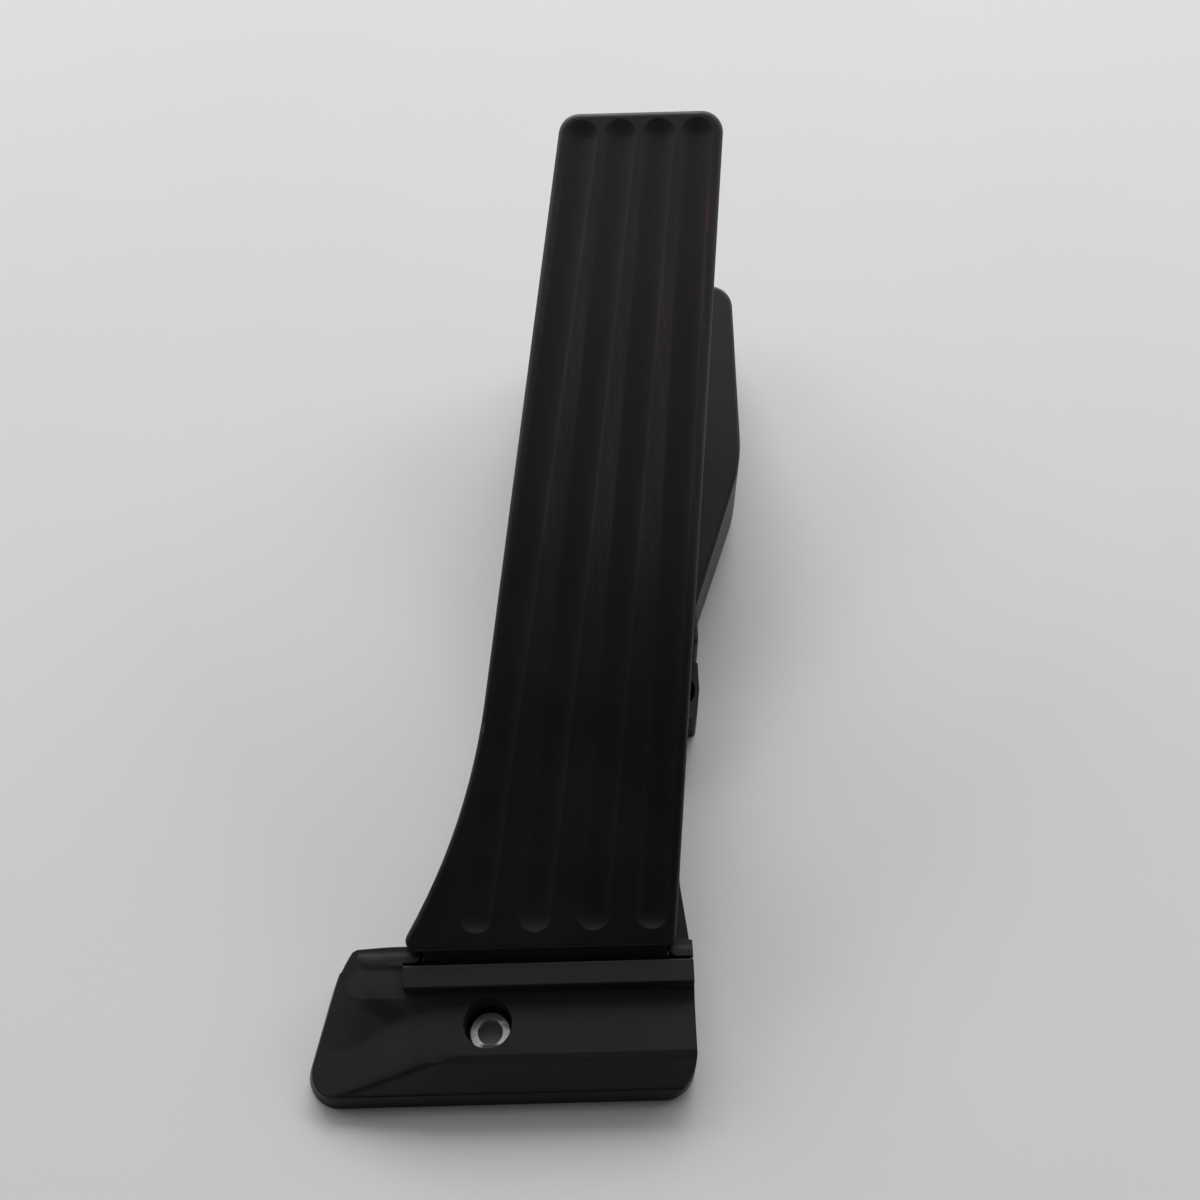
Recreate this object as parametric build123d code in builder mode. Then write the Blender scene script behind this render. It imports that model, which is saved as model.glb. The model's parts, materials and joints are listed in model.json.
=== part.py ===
from build123d import *
import os
from math import atan2, cos, degrees, radians, sin, sqrt, tan

# A floor-hinged accelerator pedal: a grooved pad on a foot, a lever behind it and a sensor housing.
# Frame: Z = 0 is the mounting plane, the origin is the axis of the lower fixing hole,
# +Y runs up the pedal, +Z points at the driver and +X to the right. Lengths are in mm, angles in degrees.

# Fits
RUNNING_GAP = 0.05
SEAT_GAP = 0.04
MOVING_GAP = 0.4

# Hinge and travel of the pad
HINGE_Y = 16.8
HINGE_Z = 14.0
PAD_ANGLE = 28.0
PAD_TRAVEL = 16.0
HINGE_PIN_RADIUS = 2.0
HINGE_BUSH_WALL = 0.7
HINGE_BUSH_LENGTH = 9.0
BARREL_RADIUS = 4.2
TROUGH_GAP = 0.4

# Pad: x across, v along from the hinge, n out of its front
PAD_BOTTOM = 2.7
PAD_TOP = 217.2
PAD_TOP_LEFT = 24.3
PAD_TOP_RIGHT = 66.6
PAD_BOTTOM_LEFT = -23.0
PAD_BOTTOM_RIGHT = 47.95
FLARE_START = 66.0
FLARE_START_X = 0.9
PAD_TOP_RADIUS = 5.5
PAD_BOTTOM_RADIUS = 3.0
PAD_EDGE_RADIUS = 1.5
PAD_FRONT = 6.3
PAD_SKIN = 3.0
PAD_DEPTH = 9.0
PAD_SKIRT = 2.4
PAD_RIB = 1.8
PAD_RIB_DEPTH = 5.0
PAD_RIB_PITCH = 25.0

# Grooves in the pad's front
GROOVE_COUNT = 4
GROOVE_WIDTH = 8.4
GROOVE_DEPTH = 1.1
GROOVE_TOP_X = 29.6
GROOVE_TOP_PITCH = 9.9
GROOVE_BOTTOM_X = -2.5
GROOVE_BOTTOM_PITCH = 14.87
GROOVE_LAND = 2.0
GROOVE_LAND_BOTTOM = 4.7

# Foot
FOOT_FRONT = -17.0
FOOT_LEFT_FRONT = -48.7
FOOT_LEFT_BACK = -40.5
FOOT_RIGHT = 52.4
FOOT_BACK_BEND = -22.0
FOOT_BACK_DROP = 2.0
FOOT_FRONT_RADIUS = 8.5
FOOT_BACK_RADIUS = 9.0
FLANGE_HEIGHT = 5.0
FLANGE_DRAFT = 17.0
TRIM = 20.0
PLATFORM_HEIGHT = 14.0
PLATFORM_LAND = 0.3
PLATFORM_LEFT = -20.0
PLATFORM_FRONT = -8.5
PLATFORM_RADIUS = 8.0
PLATFORM_BLEND = 1.0
HILL_BASE_LEFT = -44.8
HILL_BASE_FRONT = -8.0
HILL_BASE_RADIUS = 8.0
HILL_SHOULDER = 15.5
HILL_SHOULDER_LEFT = -37.6
HILL_SHOULDER_FRONT = 6.5
HILL_SHOULDER_RADIUS = 5.0
HILL_LEFT = -33.5
HILL_FRONT = 14.0
HILL_RADIUS = 3.0
BAR_HEIGHT = 18.5
BAR_LEFT = -21.4
BAR_FRONT = 8.1
BAR_BACK = 13.9
BAR_DRAFT = 16.0
BAR_EDGE = 0.3
BAR_FOOT = 2.0
BAR_CORNER = 8.0
CHEEK_LEFT = -16.6
CHEEK_RIGHT = 46.3
CHEEK_LOBE = 4.2
CHEEK_BACK = 3.2
CHEEK_ROUND = 4.0
CHEEK_SLIT = 0.7
CHEEK_SLIT_DEPTH = 2.6
CHEEK_CORNER = 2.4
PIN_END = -23.0
PIN_SHORT = 0.6
RETAINER_RADIUS = 3.2
RETAINER_THICKNESS = 0.8
WALL = 2.6
SKIN = 3.0
RIB = 2.0
RIB_PITCH = 14.0

# Fixing holes, each with the same steel collar
COLLAR_BORE = 3.25
COLLAR_RADIUS = 5.05
COLLAR_HEIGHT = 5.0
POCKET_RADIUS = 6.15
BOSS_WALL = 2.4
SIDE_HOLE_X = 51.2
SIDE_HOLE_Y = 93.2
SIDE_LUG_HEIGHT = 12.0
SIDE_LUG_RADIUS = 7.4
SIDE_LUG_END = 84.1
SIDE_LUG_TOE = 57.4
SIDE_LUG_CORNER = 1.5
TOP_HOLE_X = 33.0
TOP_HOLE_Y = 232.0
TOP_LUG_RADIUS = 9.0

# Spine between foot and housing
SPINE_LEFT = 8.0
SPINE_RIGHT = 50.3
SPINE_HEIGHT = 10.4
SPINE_FLARE = 36.4
SPINE_FLARE_LEFT = -8.0

# Housing body, its front parallel to the pad at full travel
HOUSING_LEFT = 17.0
HOUSING_RIGHT = 54.0
HOUSING_END = 222.0
HOUSING_DROP = 10.5
HOUSING_WALL = 3.0
HOUSING_FLOOR = 2.5
NECK_LEFT = 24.0
NECK_RIGHT = 44.0
NECK_START = 86.0
NECK_END = 96.5
SHOULDER_START = 101.5
CHAMBER_START = 100.0
CHAMBER_END = 126.0
SLOT_END = 190.0

# Lever and its shaft
LEVER_X = 34.0
PIVOT_Y = 110.0
PIVOT_Z = 13.5
LEVER_WIDTH = 8.0
HUB_RADIUS = 7.0
HUB_HALF = 10.6
SPRING_BOSS_RADIUS = 6.2
SHAFT_RADIUS = 3.5
SHAFT_BUSH_WALL = 1.5
BUSH_START = 1.2
SHAFT_BUSH_LENGTH = 4.5
SHAFT_TIP_HALF = 1.6
SHAFT_TIP = 1.5
ROLLER_RADIUS = 5.5
ROLLER_WIDTH = 7.4
ROLLER_PIN_RADIUS = 2.0
FORK_EAR = 2.4
FORK_RADIUS = 4.4
FORK_LENGTH = 17.0
HEEL_REACH = 13.0
HEEL_RADIUS = 3.2
LEVER_WALL = 2.0
LEVER_WEB = 3.0
TRACK_HEIGHT = 1.3
RAIL = 2.6
RAIL_LIP = 2.4
RAIL_END = 5.0

# Torsion springs beside the lever
SPRING_WIRE = 1.8
SPRING_RADIUS = 7.9
SPRING_TURNS = 2.25
SPRING_PITCH = 2.0
SPRING_TANG = 2.4
COIL_SIDES = 12
WIRE_SIDES = 6

# Sensor at the shaft's end
MAGNET_HALF = 2.5
MAGNET_LENGTH = 2.0
HOLDER_RADIUS = 4.4
CHAMBER_RADIUS = 4.8
BOARD_THICKNESS = 1.2
BOARD_STANDOFF = 1.2
CHIP_LENGTH = 3.2
CHIP_WIDTH = 4.0
CHIP_HEIGHT = 1.0

# Cover on the housing's right side
COVER_RIGHT = 73.6
COVER_NOSE = 58.6
COVER_START = 103.0
COVER_TAPER_START = 114.3
COVER_TAPER_END = 157.3
COVER_TAPER_RADIUS = 45.0
COVER_END = 214.5
COVER_BOTTOM = 6.5
COVER_WALL = 1.6
COVER_CORNER = 7.0
COVER_NOSE_RADIUS = 1.5
COVER_EDGE = 1.2
COVER_FOOT = 2.6
FLANGE_THICKNESS = 2.4
FLANGE_BOTTOM = 0.6
FLANGE_LAP = 0.9
SEAL_WIDTH = 1.0
SEAL_HEIGHT = 1.0
CLIP_WIDTH = 6.0
CLIP_THICKNESS = 1.6
CLIP_BITE = 0.8
CLIP_NOSE = 1.2
CLIP_LOW = 2.6
CLIP_CELLS = (0.5, 3.5, 5.5)
CLIP_END_Y = 216.2
CLIP_END_Z = 30.0

# Connector socket on the cover's upper end, with its terminals
SOCKET_X = 62.2
SOCKET_Z = 21.0
SOCKET_WIDTH = 16.0
SOCKET_HEIGHT = 14.0
SOCKET_LENGTH = 24.0
SOCKET_WALL = 1.8
SOCKET_DEPTH = 19.0
PIN_SIZE = 0.9
PIN_PITCH_X = 3.6
PIN_PITCH_Z = 4.4
PIN_REACH = 9.0
PIN_BEND_PITCH = 3.0
BOARD_POST = 2.0
BOARD_PEG = 1.0
BOARD_POST_Y = (165.0, 196.0)

# Rubber stops
IDLE_STOP_HALF = 3.2
TRAVEL_STOP_HALF = 4.4
TRAVEL_STOP_V = 196.0
STOP_SEAT = 1.0


# Planes and places worked out from the sizes above


def across(x, y, z, angle):
    """Plane at x that looks along X, drawn along and square to a line at that angle through (y, z)."""
    along = (0, cos(radians(angle)), sin(radians(angle)))
    return Plane(origin=(x, y, z), x_dir=along, z_dir=(1, 0, 0))


def pad_plane(angle):
    """The pad's own plane through its hinge axis: x across, y along the pad, z out of its front."""
    normal = (0, -sin(radians(angle)), cos(radians(angle)))
    return Plane(origin=(0, HINGE_Y, HINGE_Z), x_dir=(1, 0, 0), z_dir=normal)


FULL_ANGLE = PAD_ANGLE - PAD_TRAVEL
PAD = pad_plane(PAD_ANGLE)
PAD_FULL = pad_plane(FULL_ANGLE)
PAD_BACK = PAD_FRONT - PAD_SKIN
PAD_RIM = PAD_FRONT - PAD_DEPTH
TROUGH_RADIUS = BARREL_RADIUS + TROUGH_GAP
FOOT_BACK = HINGE_Y + CHEEK_BACK


def front_z(y):
    """Height of the housing's front, which lies parallel to the pad at full travel."""
    full = radians(FULL_ANGLE)
    return HINGE_Z - HOUSING_DROP / cos(full) + (y - HINGE_Y) * tan(full)


def pivot_in_pad(angle):
    """The lever's pivot in the pad's frame, along the pad and square to it, with the pad at that angle."""
    a = radians(angle)
    dy, dz = PIVOT_Y - HINGE_Y, PIVOT_Z - HINGE_Z
    return dy * cos(a) + dz * sin(a), dz * cos(a) - dy * sin(a)


# The lever's length that gives the same ratio of lever to pad at both ends of the travel
TRACK = PAD_BACK - TRACK_HEIGHT
ROLLER_N = TRACK - MOVING_GAP - ROLLER_RADIUS
IDLE_V, IDLE_N = pivot_in_pad(PAD_ANGLE)
FULL_V, FULL_N = pivot_in_pad(FULL_ANGLE)
IDLE_RISE, FULL_RISE = ROLLER_N - IDLE_N, ROLLER_N - FULL_N
STRETCH = (FULL_V / IDLE_V) ** 2
LEVER_LENGTH = sqrt((STRETCH * IDLE_RISE**2 - FULL_RISE**2) / (STRETCH - 1))
ROLLER_IDLE_V = IDLE_V + sqrt(LEVER_LENGTH**2 - IDLE_RISE**2)
ROLLER_FULL_V = FULL_V + sqrt(LEVER_LENGTH**2 - FULL_RISE**2)
LEVER_ANGLE = PAD_ANGLE + degrees(atan2(IDLE_RISE, ROLLER_IDLE_V - IDLE_V))
ROLLER_AT = PAD.from_local_coords((LEVER_X, ROLLER_IDLE_V, ROLLER_N))
FORK_HALF = ROLLER_WIDTH / 2 + MOVING_GAP + FORK_EAR
RAIL_NEAR = FORK_HALF + MOVING_GAP


def round_bar(radius, x0, x1, y, z, mode=Mode.ADD):
    """Round bar, or hole, along X from x0 to x1."""
    with BuildSketch(Plane.YZ.offset(x0)) as disc:
        with Locations((y, z)):
            Circle(radius)
    extrude(disc.sketch, amount=x1 - x0, mode=mode)


def post(radius, x, y, z0, z1, mode=Mode.ADD):
    """Round post, or hole, along Z from z0 to z1."""
    with BuildSketch(Plane.XY.offset(z0)) as disc:
        with Locations((x, y)):
            Circle(radius)
    extrude(disc.sketch, amount=z1 - z0, mode=mode)


def block(x0, x1, y0, y1, z0, z1, mode=Mode.ADD):
    """Square block, or pocket, between two corners."""
    with BuildSketch(Plane.XY.offset(z0)) as plan:
        with Locations(((x0 + x1) / 2, (y0 + y1) / 2)):
            Rectangle(x1 - x0, y1 - y0)
    extrude(plan.sketch, amount=z1 - z0, mode=mode)


def side_profile(points, x0, x1, mode=Mode.ADD):
    """Prism along X from x0 to x1 with corners given in Y and Z."""
    with BuildSketch(Plane.YZ.offset(x0)) as profile:
        with BuildLine():
            Polyline(*points, close=True)
        make_face()
    extrude(profile.sketch, amount=x1 - x0, mode=mode)


os.makedirs("parts", exist_ok=True)

# Pedal pad

with BuildSketch() as pad_outline:
    with BuildLine():
        right_edge = Line((PAD_BOTTOM_RIGHT, PAD_BOTTOM), (PAD_TOP_RIGHT, PAD_TOP))
        top_edge = Line(right_edge @ 1, (PAD_TOP_LEFT, PAD_TOP))
        left_edge = Line(top_edge @ 1, (FLARE_START_X, FLARE_START))
        flare = TangentArc(left_edge @ 1, (PAD_BOTTOM_LEFT, PAD_BOTTOM), tangent=left_edge % 1)
        Line(flare @ 1, right_edge @ 0)
    make_face()
    fillet(pad_outline.vertices().group_by(Axis.Y)[-1], PAD_TOP_RADIUS)
    fillet(pad_outline.vertices().group_by(Axis.Y)[0], PAD_BOTTOM_RADIUS)

with BuildSketch() as pad_inside:
    add(pad_outline.sketch)
    offset(amount=-PAD_SKIRT, mode=Mode.REPLACE)

BARREL_LEFT = CHEEK_LEFT + MOVING_GAP
BARREL_RIGHT = CHEEK_RIGHT - MOVING_GAP
BUSH_RADIUS = HINGE_PIN_RADIUS + RUNNING_GAP + HINGE_BUSH_WALL
GROOVE_RADIUS = (GROOVE_WIDTH**2 / 4 + GROOVE_DEPTH**2) / (2 * GROOVE_DEPTH)
GROOVE_AXIS = PAD_FRONT + GROOVE_RADIUS - GROOVE_DEPTH

with BuildPart() as pedal_pad:
    with BuildSketch(PAD.offset(PAD_FRONT)):
        add(pad_outline.sketch)
    extrude(amount=-PAD_DEPTH)
    front_face = pedal_pad.faces().sort_by(Axis(PAD.origin, PAD.z_dir))[-1]
    fillet(front_face.edges(), PAD_EDGE_RADIUS)
    with BuildSketch(PAD.offset(PAD_BACK)):
        add(pad_inside.sketch)
    extrude(amount=-PAD_DEPTH, mode=Mode.SUBTRACT)
    cheek_swing = CHEEK_LOBE + MOVING_GAP
    round_bar(cheek_swing, PAD_BOTTOM_LEFT - TRIM, BARREL_LEFT, HINGE_Y, HINGE_Z, Mode.SUBTRACT)
    round_bar(cheek_swing, BARREL_RIGHT, PAD_TOP_RIGHT, HINGE_Y, HINGE_Z, Mode.SUBTRACT)

    # Cross ribs and two long ribs on the back, clear of the roller between the rails
    rib_count = int((PAD_TOP - PAD_BOTTOM) / PAD_RIB_PITCH)
    rail_from = ROLLER_IDLE_V - ROLLER_PIN_RADIUS - MOVING_GAP - RAIL_END
    rail_to = ROLLER_FULL_V + ROLLER_PIN_RADIUS + MOVING_GAP + RAIL_END
    with BuildSketch(PAD.offset(PAD_BACK)):
        with Locations((0, (PAD_TOP + PAD_BOTTOM) / 2)):
            with GridLocations(0, PAD_RIB_PITCH, 1, rib_count):
                Rectangle(2 * PAD_TOP, PAD_RIB)
        for edge in (-1, 1):
            with Locations((LEVER_X + edge * (RAIL_NEAR + RAIL / 2), (PAD_TOP + PAD_BOTTOM) / 2)):
                Rectangle(RAIL, PAD_TOP)
        with Locations((LEVER_X, (rail_from + rail_to) / 2)):
            Rectangle(2 * RAIL_NEAR, rail_to - rail_from, mode=Mode.SUBTRACT)
        add(pad_inside.sketch, mode=Mode.INTERSECT)
    extrude(amount=-PAD_RIB_DEPTH)

    # Track for the roller and the rails that hold its pin
    with BuildSketch(PAD.offset(PAD_BACK)):
        with Locations((LEVER_X, (rail_from + rail_to) / 2)):
            Rectangle(ROLLER_WIDTH, rail_to - rail_from)
    extrude(amount=-TRACK_HEIGHT)
    rail_depth = PAD_BACK - ROLLER_N + ROLLER_PIN_RADIUS + MOVING_GAP + RAIL_LIP
    with BuildSketch(PAD.offset(PAD_BACK)):
        for edge in (-1, 1):
            with Locations((LEVER_X + edge * (RAIL_NEAR + RAIL / 2), (rail_from + rail_to) / 2)):
                Rectangle(RAIL, rail_to - rail_from)
    extrude(amount=-rail_depth)
    slot_reach = RAIL_NEAR + RAIL
    with BuildSketch(across(LEVER_X - slot_reach, HINGE_Y, HINGE_Z, PAD_ANGLE)):
        with Locations(((ROLLER_IDLE_V + ROLLER_FULL_V) / 2, ROLLER_N)):
            slot_height = 2 * (ROLLER_PIN_RADIUS + MOVING_GAP)
            Rectangle(ROLLER_FULL_V - ROLLER_IDLE_V + slot_height, slot_height)
    extrude(amount=2 * slot_reach, mode=Mode.SUBTRACT)

    # Land that meets the travel stop
    with BuildSketch(PAD.offset(PAD_BACK)):
        with Locations((LEVER_X, TRAVEL_STOP_V)):
            Rectangle(2 * TRAVEL_STOP_HALF, 2 * TRAVEL_STOP_HALF)
    extrude(amount=-(PAD_BACK - PAD_RIM))

    # Hinge barrel on the lower edge
    round_bar(BARREL_RADIUS, BARREL_LEFT, BARREL_RIGHT, HINGE_Y, HINGE_Z)
    with BuildSketch(across(BARREL_LEFT, HINGE_Y, HINGE_Z, PAD_ANGLE)):
        with BuildLine():
            Polyline(
                (0, 0),
                (0, BARREL_RADIUS),
                (PAD_BOTTOM + PAD_EDGE_RADIUS, PAD_FRONT - PAD_EDGE_RADIUS),
                (PAD_BOTTOM + PAD_DEPTH, PAD_BACK),
                (PAD_BOTTOM + PAD_SKIRT, PAD_RIM),
                close=True,
            )
        make_face()
    extrude(amount=BARREL_RIGHT - BARREL_LEFT)
    round_bar(BUSH_RADIUS + SEAT_GAP, BARREL_LEFT, BARREL_RIGHT, HINGE_Y, HINGE_Z, Mode.SUBTRACT)

    # Round-nosed grooves that fan out towards the foot
    for i in range(GROOVE_COUNT):
        top_x, top_v = GROOVE_TOP_X + i * GROOVE_TOP_PITCH, PAD_TOP - GROOVE_LAND - GROOVE_WIDTH / 2
        low_x, low_v = GROOVE_BOTTOM_X + i * GROOVE_BOTTOM_PITCH, PAD_BOTTOM + GROOVE_LAND_BOTTOM
        low_v += GROOVE_WIDTH / 2
        groove_top = PAD.from_local_coords(Vector(top_x, top_v, GROOVE_AXIS))
        groove_low = PAD.from_local_coords(Vector(low_x, low_v, GROOVE_AXIS))
        groove_run = groove_top - groove_low
        middle = (groove_top + groove_low) * 0.5
        with BuildSketch(Plane(middle, x_dir=groove_run, z_dir=PAD.z_dir)) as groove:
            SlotCenterToCenter(groove_run.length, 2 * GROOVE_RADIUS)
            upper_half = (Align.CENTER, Align.MIN)
            Rectangle(2 * groove_run.length, 2 * GROOVE_RADIUS, align=upper_half, mode=Mode.INTERSECT)
        revolve(groove.sketch, axis=Axis(middle, groove_run), mode=Mode.SUBTRACT)

pedal_pad.part.label = "pedal_pad"
export_step(pedal_pad.part, "parts/pedal_pad.step")

# Hinge pin, its bushes and its retainer

with BuildPart() as hinge_pin:
    round_bar(HINGE_PIN_RADIUS, PIN_END, FOOT_RIGHT - PIN_SHORT, HINGE_Y, HINGE_Z)
hinge_pin.part.label = "hinge_pin"
export_step(hinge_pin.part, "parts/hinge_pin.step")

with BuildPart() as hinge_bushes:
    for start in (BARREL_LEFT, BARREL_RIGHT - HINGE_BUSH_LENGTH):
        end = start + HINGE_BUSH_LENGTH
        round_bar(BUSH_RADIUS, start, end, HINGE_Y, HINGE_Z)
        round_bar(HINGE_PIN_RADIUS + RUNNING_GAP, start, end, HINGE_Y, HINGE_Z, Mode.SUBTRACT)
hinge_bushes.part.label = "hinge_bushes"
export_step(hinge_bushes.part, "parts/hinge_bushes.step")

RETAINER_RIGHT = FOOT_RIGHT - PIN_SHORT
RETAINER_LEFT = RETAINER_RIGHT - RETAINER_THICKNESS

with BuildPart() as pin_retainer:
    round_bar(RETAINER_RADIUS, RETAINER_LEFT, RETAINER_RIGHT, HINGE_Y, HINGE_Z)
    round_bar(HINGE_PIN_RADIUS + SEAT_GAP, RETAINER_LEFT, RETAINER_RIGHT, HINGE_Y, HINGE_Z, Mode.SUBTRACT)
pin_retainer.part.label = "pin_retainer"
export_step(pin_retainer.part, "parts/pin_retainer.step")

# Carrier: foot, hinge ridge, spine, lugs and housing body in one moulding

FOOT_LEAN = (FOOT_LEFT_BACK - FOOT_LEFT_FRONT) / (FOOT_BACK - FOOT_FRONT)
BOSS_RADIUS = POCKET_RADIUS + BOSS_WALL
COLLAR_SEAT = COLLAR_RADIUS + SEAT_GAP
FLANGE_INSET = FLANGE_HEIGHT * tan(radians(FLANGE_DRAFT))
BASE_INSET = FLANGE_INSET + PLATFORM_LAND
BASE_LEFT = FOOT_LEFT_FRONT + BASE_INSET * (sqrt(1 + FOOT_LEAN**2) + FOOT_LEAN)
BASE_FRONT = FOOT_FRONT + BASE_INSET
HILL_HEIGHT = HINGE_Z + CHEEK_LOBE
SLIT_BACK = BAR_BACK + CHEEK_SLIT
SLIT_FLOOR = BAR_HEIGHT - CHEEK_SLIT_DEPTH


def corner_plan(left, front, radius, z):
    """Outline at height z with a round front left corner, drawn past the foot's right and back faces."""
    back = FOOT_BACK + TRIM
    with BuildSketch(Plane.XY.offset(z)) as plan:
        with BuildLine():
            Polyline(
                (left, front),
                (FOOT_RIGHT + TRIM, front),
                (FOOT_RIGHT + TRIM, back),
                (left + FOOT_LEAN * (back - front), back),
                close=True,
            )
        make_face()
        fillet(plan.vertices().sort_by(Axis.X)[0], radius)
    return plan.sketch


with BuildSketch() as foot_plan:
    with BuildLine():
        Polyline(
            (FOOT_LEFT_FRONT, FOOT_FRONT),
            (FOOT_RIGHT, FOOT_FRONT),
            (FOOT_RIGHT, FOOT_BACK),
            (FOOT_BACK_BEND, FOOT_BACK),
            (FOOT_LEFT_BACK - FOOT_BACK_DROP * FOOT_LEAN, FOOT_BACK - FOOT_BACK_DROP),
            close=True,
        )
    make_face()
    fillet(foot_plan.vertices().group_by(Axis.Y)[0], FOOT_FRONT_RADIUS)
    fillet(foot_plan.vertices().group_by(Axis.Y)[-2], FOOT_BACK_RADIUS)

with BuildPart() as hinge_bar:
    bar_low = BAR_FRONT - (BAR_HEIGHT - PLATFORM_HEIGHT) * tan(radians(BAR_DRAFT))
    bar_lead = bar_low - 2 * BAR_FOOT
    with BuildSketch(Plane.YZ.offset(BAR_LEFT)) as bar_side:
        with BuildLine():
            Polyline(
                (BAR_FRONT, BAR_HEIGHT),
                (bar_low, PLATFORM_HEIGHT),
                (bar_lead, PLATFORM_HEIGHT),
                (bar_lead, FLANGE_HEIGHT),
                (BAR_BACK, FLANGE_HEIGHT),
                (BAR_BACK, BAR_HEIGHT),
                close=True,
            )
        make_face()
        fillet(bar_side.vertices().group_by(Axis.Y)[-1].sort_by(Axis.X)[0], BAR_EDGE)
        fillet(bar_side.vertices().filter_by_position(Axis.X, bar_low, bar_low)[0], BAR_FOOT)
    extrude(amount=FOOT_RIGHT - BAR_LEFT)
    with BuildSketch() as bar_plan:
        with Locations((BAR_LEFT, bar_lead)):
            Rectangle(FOOT_RIGHT - BAR_LEFT, BAR_BACK - bar_lead, align=(Align.MIN, Align.MIN))
        fillet(bar_plan.vertices().group_by(Axis.X)[0].sort_by(Axis.Y)[0], BAR_CORNER)
    extrude(amount=BAR_HEIGHT, mode=Mode.INTERSECT)

with BuildPart() as foot:
    flange_plan = corner_plan(FOOT_LEFT_FRONT, FOOT_FRONT, FOOT_FRONT_RADIUS, 0)
    extrude(flange_plan, amount=FLANGE_HEIGHT, taper=FLANGE_DRAFT)
    platform_base = corner_plan(BASE_LEFT, BASE_FRONT, FOOT_FRONT_RADIUS - BASE_INSET, FLANGE_HEIGHT)
    soft = PLATFORM_BLEND / (PLATFORM_HEIGHT - FLANGE_HEIGHT)
    soft_x, soft_y = soft * (PLATFORM_LEFT - BASE_LEFT), soft * (PLATFORM_FRONT - BASE_FRONT)
    rim_left, rim_front = PLATFORM_LEFT - soft_x, PLATFORM_FRONT - soft_y
    platform_rim = corner_plan(rim_left, rim_front, PLATFORM_RADIUS, PLATFORM_HEIGHT - PLATFORM_BLEND)
    top_left, top_front = PLATFORM_LEFT + soft_x, PLATFORM_FRONT + soft_y
    platform_top = corner_plan(top_left, top_front, PLATFORM_RADIUS, PLATFORM_HEIGHT)
    loft([platform_base, platform_rim, platform_top], ruled=True)
    hill_base = corner_plan(HILL_BASE_LEFT, HILL_BASE_FRONT, HILL_BASE_RADIUS, FLANGE_HEIGHT)
    hill_top = corner_plan(HILL_LEFT, HILL_FRONT, HILL_RADIUS, HILL_HEIGHT)
    shoulder_left, shoulder_front = HILL_SHOULDER_LEFT, HILL_SHOULDER_FRONT
    hill_middle = corner_plan(shoulder_left, shoulder_front, HILL_SHOULDER_RADIUS, HILL_SHOULDER)
    loft([hill_base, hill_middle, hill_top], ruled=True)

    # Flat right and back faces with the corners rounded, then the bar in front of the hinge
    with BuildSketch():
        add(foot_plan.sketch)
    extrude(amount=HILL_HEIGHT, mode=Mode.INTERSECT)
    add(hinge_bar.part)

HOLLOW_BACK = HINGE_Y - TROUGH_RADIUS - WALL

with BuildPart() as foot_hollow:
    hollow_left, hollow_front = BASE_LEFT + PLATFORM_LAND, BASE_FRONT + PLATFORM_LAND
    hollow_base = corner_plan(hollow_left, hollow_front, FOOT_FRONT_RADIUS, FLANGE_HEIGHT - SKIN)
    hollow_front = PLATFORM_FRONT + PLATFORM_LAND
    hollow_top = corner_plan(PLATFORM_LEFT, hollow_front, PLATFORM_RADIUS, PLATFORM_HEIGHT - SKIN)
    loft([hollow_base, hollow_top], ruled=True)
    block(FOOT_LEFT_FRONT, FOOT_RIGHT - WALL, FOOT_FRONT, HOLLOW_BACK, 0, PLATFORM_HEIGHT, Mode.INTERSECT)
    with BuildSketch():
        add(foot_plan.sketch)
        offset(amount=-WALL, mode=Mode.REPLACE)
    extrude(amount=FLANGE_HEIGHT - SKIN)
    hinge_floor = HINGE_Z - TROUGH_RADIUS - WALL
    block(HILL_LEFT, FOOT_RIGHT - WALL, HOLLOW_BACK - RIB, FOOT_BACK - WALL, 0, hinge_floor)
    for i in range(int(HILL_LEFT / RIB_PITCH), int(FOOT_RIGHT / RIB_PITCH) + 1):
        rib_at = i * RIB_PITCH
        block(rib_at - RIB / 2, rib_at + RIB / 2, FOOT_FRONT, FOOT_BACK, 0, BAR_HEIGHT, Mode.SUBTRACT)
    post(BOSS_RADIUS, 0, 0, 0, PLATFORM_HEIGHT, Mode.SUBTRACT)

HEEL_Y = PIVOT_Y - HEEL_REACH
HEEL_DROP = HUB_RADIUS - HEEL_RADIUS
BUSH_OUTER = SHAFT_RADIUS + RUNNING_GAP + SHAFT_BUSH_WALL
BOSS_FACE_LEFT = LEVER_X - HUB_HALF - MOVING_GAP
BOSS_FACE_RIGHT = LEVER_X + HUB_HALF + MOVING_GAP
ANCHOR_ANGLE = LEVER_ANGLE + 90
ANCHOR_Y = PIVOT_Y + SPRING_RADIUS * cos(radians(ANCHOR_ANGLE))
ANCHOR_Z = PIVOT_Z + SPRING_RADIUS * sin(radians(ANCHOR_ANGLE))
TANG_HOLE = SPRING_WIRE / 2 + RUNNING_GAP
WELL_LEFT = NECK_LEFT + HOUSING_WALL
WELL_RIGHT = NECK_RIGHT - HOUSING_WALL
CELLS_START = CHAMBER_END + HOUSING_FLOOR
CLIP_END = HOUSING_RIGHT - HOUSING_WALL - CLIP_NOSE
CLIP_PLACES = [CELLS_START + cell * RIB_PITCH for cell in CLIP_CELLS]

with BuildSketch() as housing_plan:
    with BuildLine():
        Polyline(
            (NECK_LEFT, NECK_START),
            (NECK_RIGHT, NECK_START),
            (NECK_RIGHT, NECK_END),
            (HOUSING_RIGHT, SHOULDER_START),
            (HOUSING_RIGHT, HOUSING_END),
            (HOUSING_LEFT, HOUSING_END),
            (HOUSING_LEFT, SHOULDER_START),
            (NECK_LEFT, NECK_END),
            close=True,
        )
    make_face()

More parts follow.
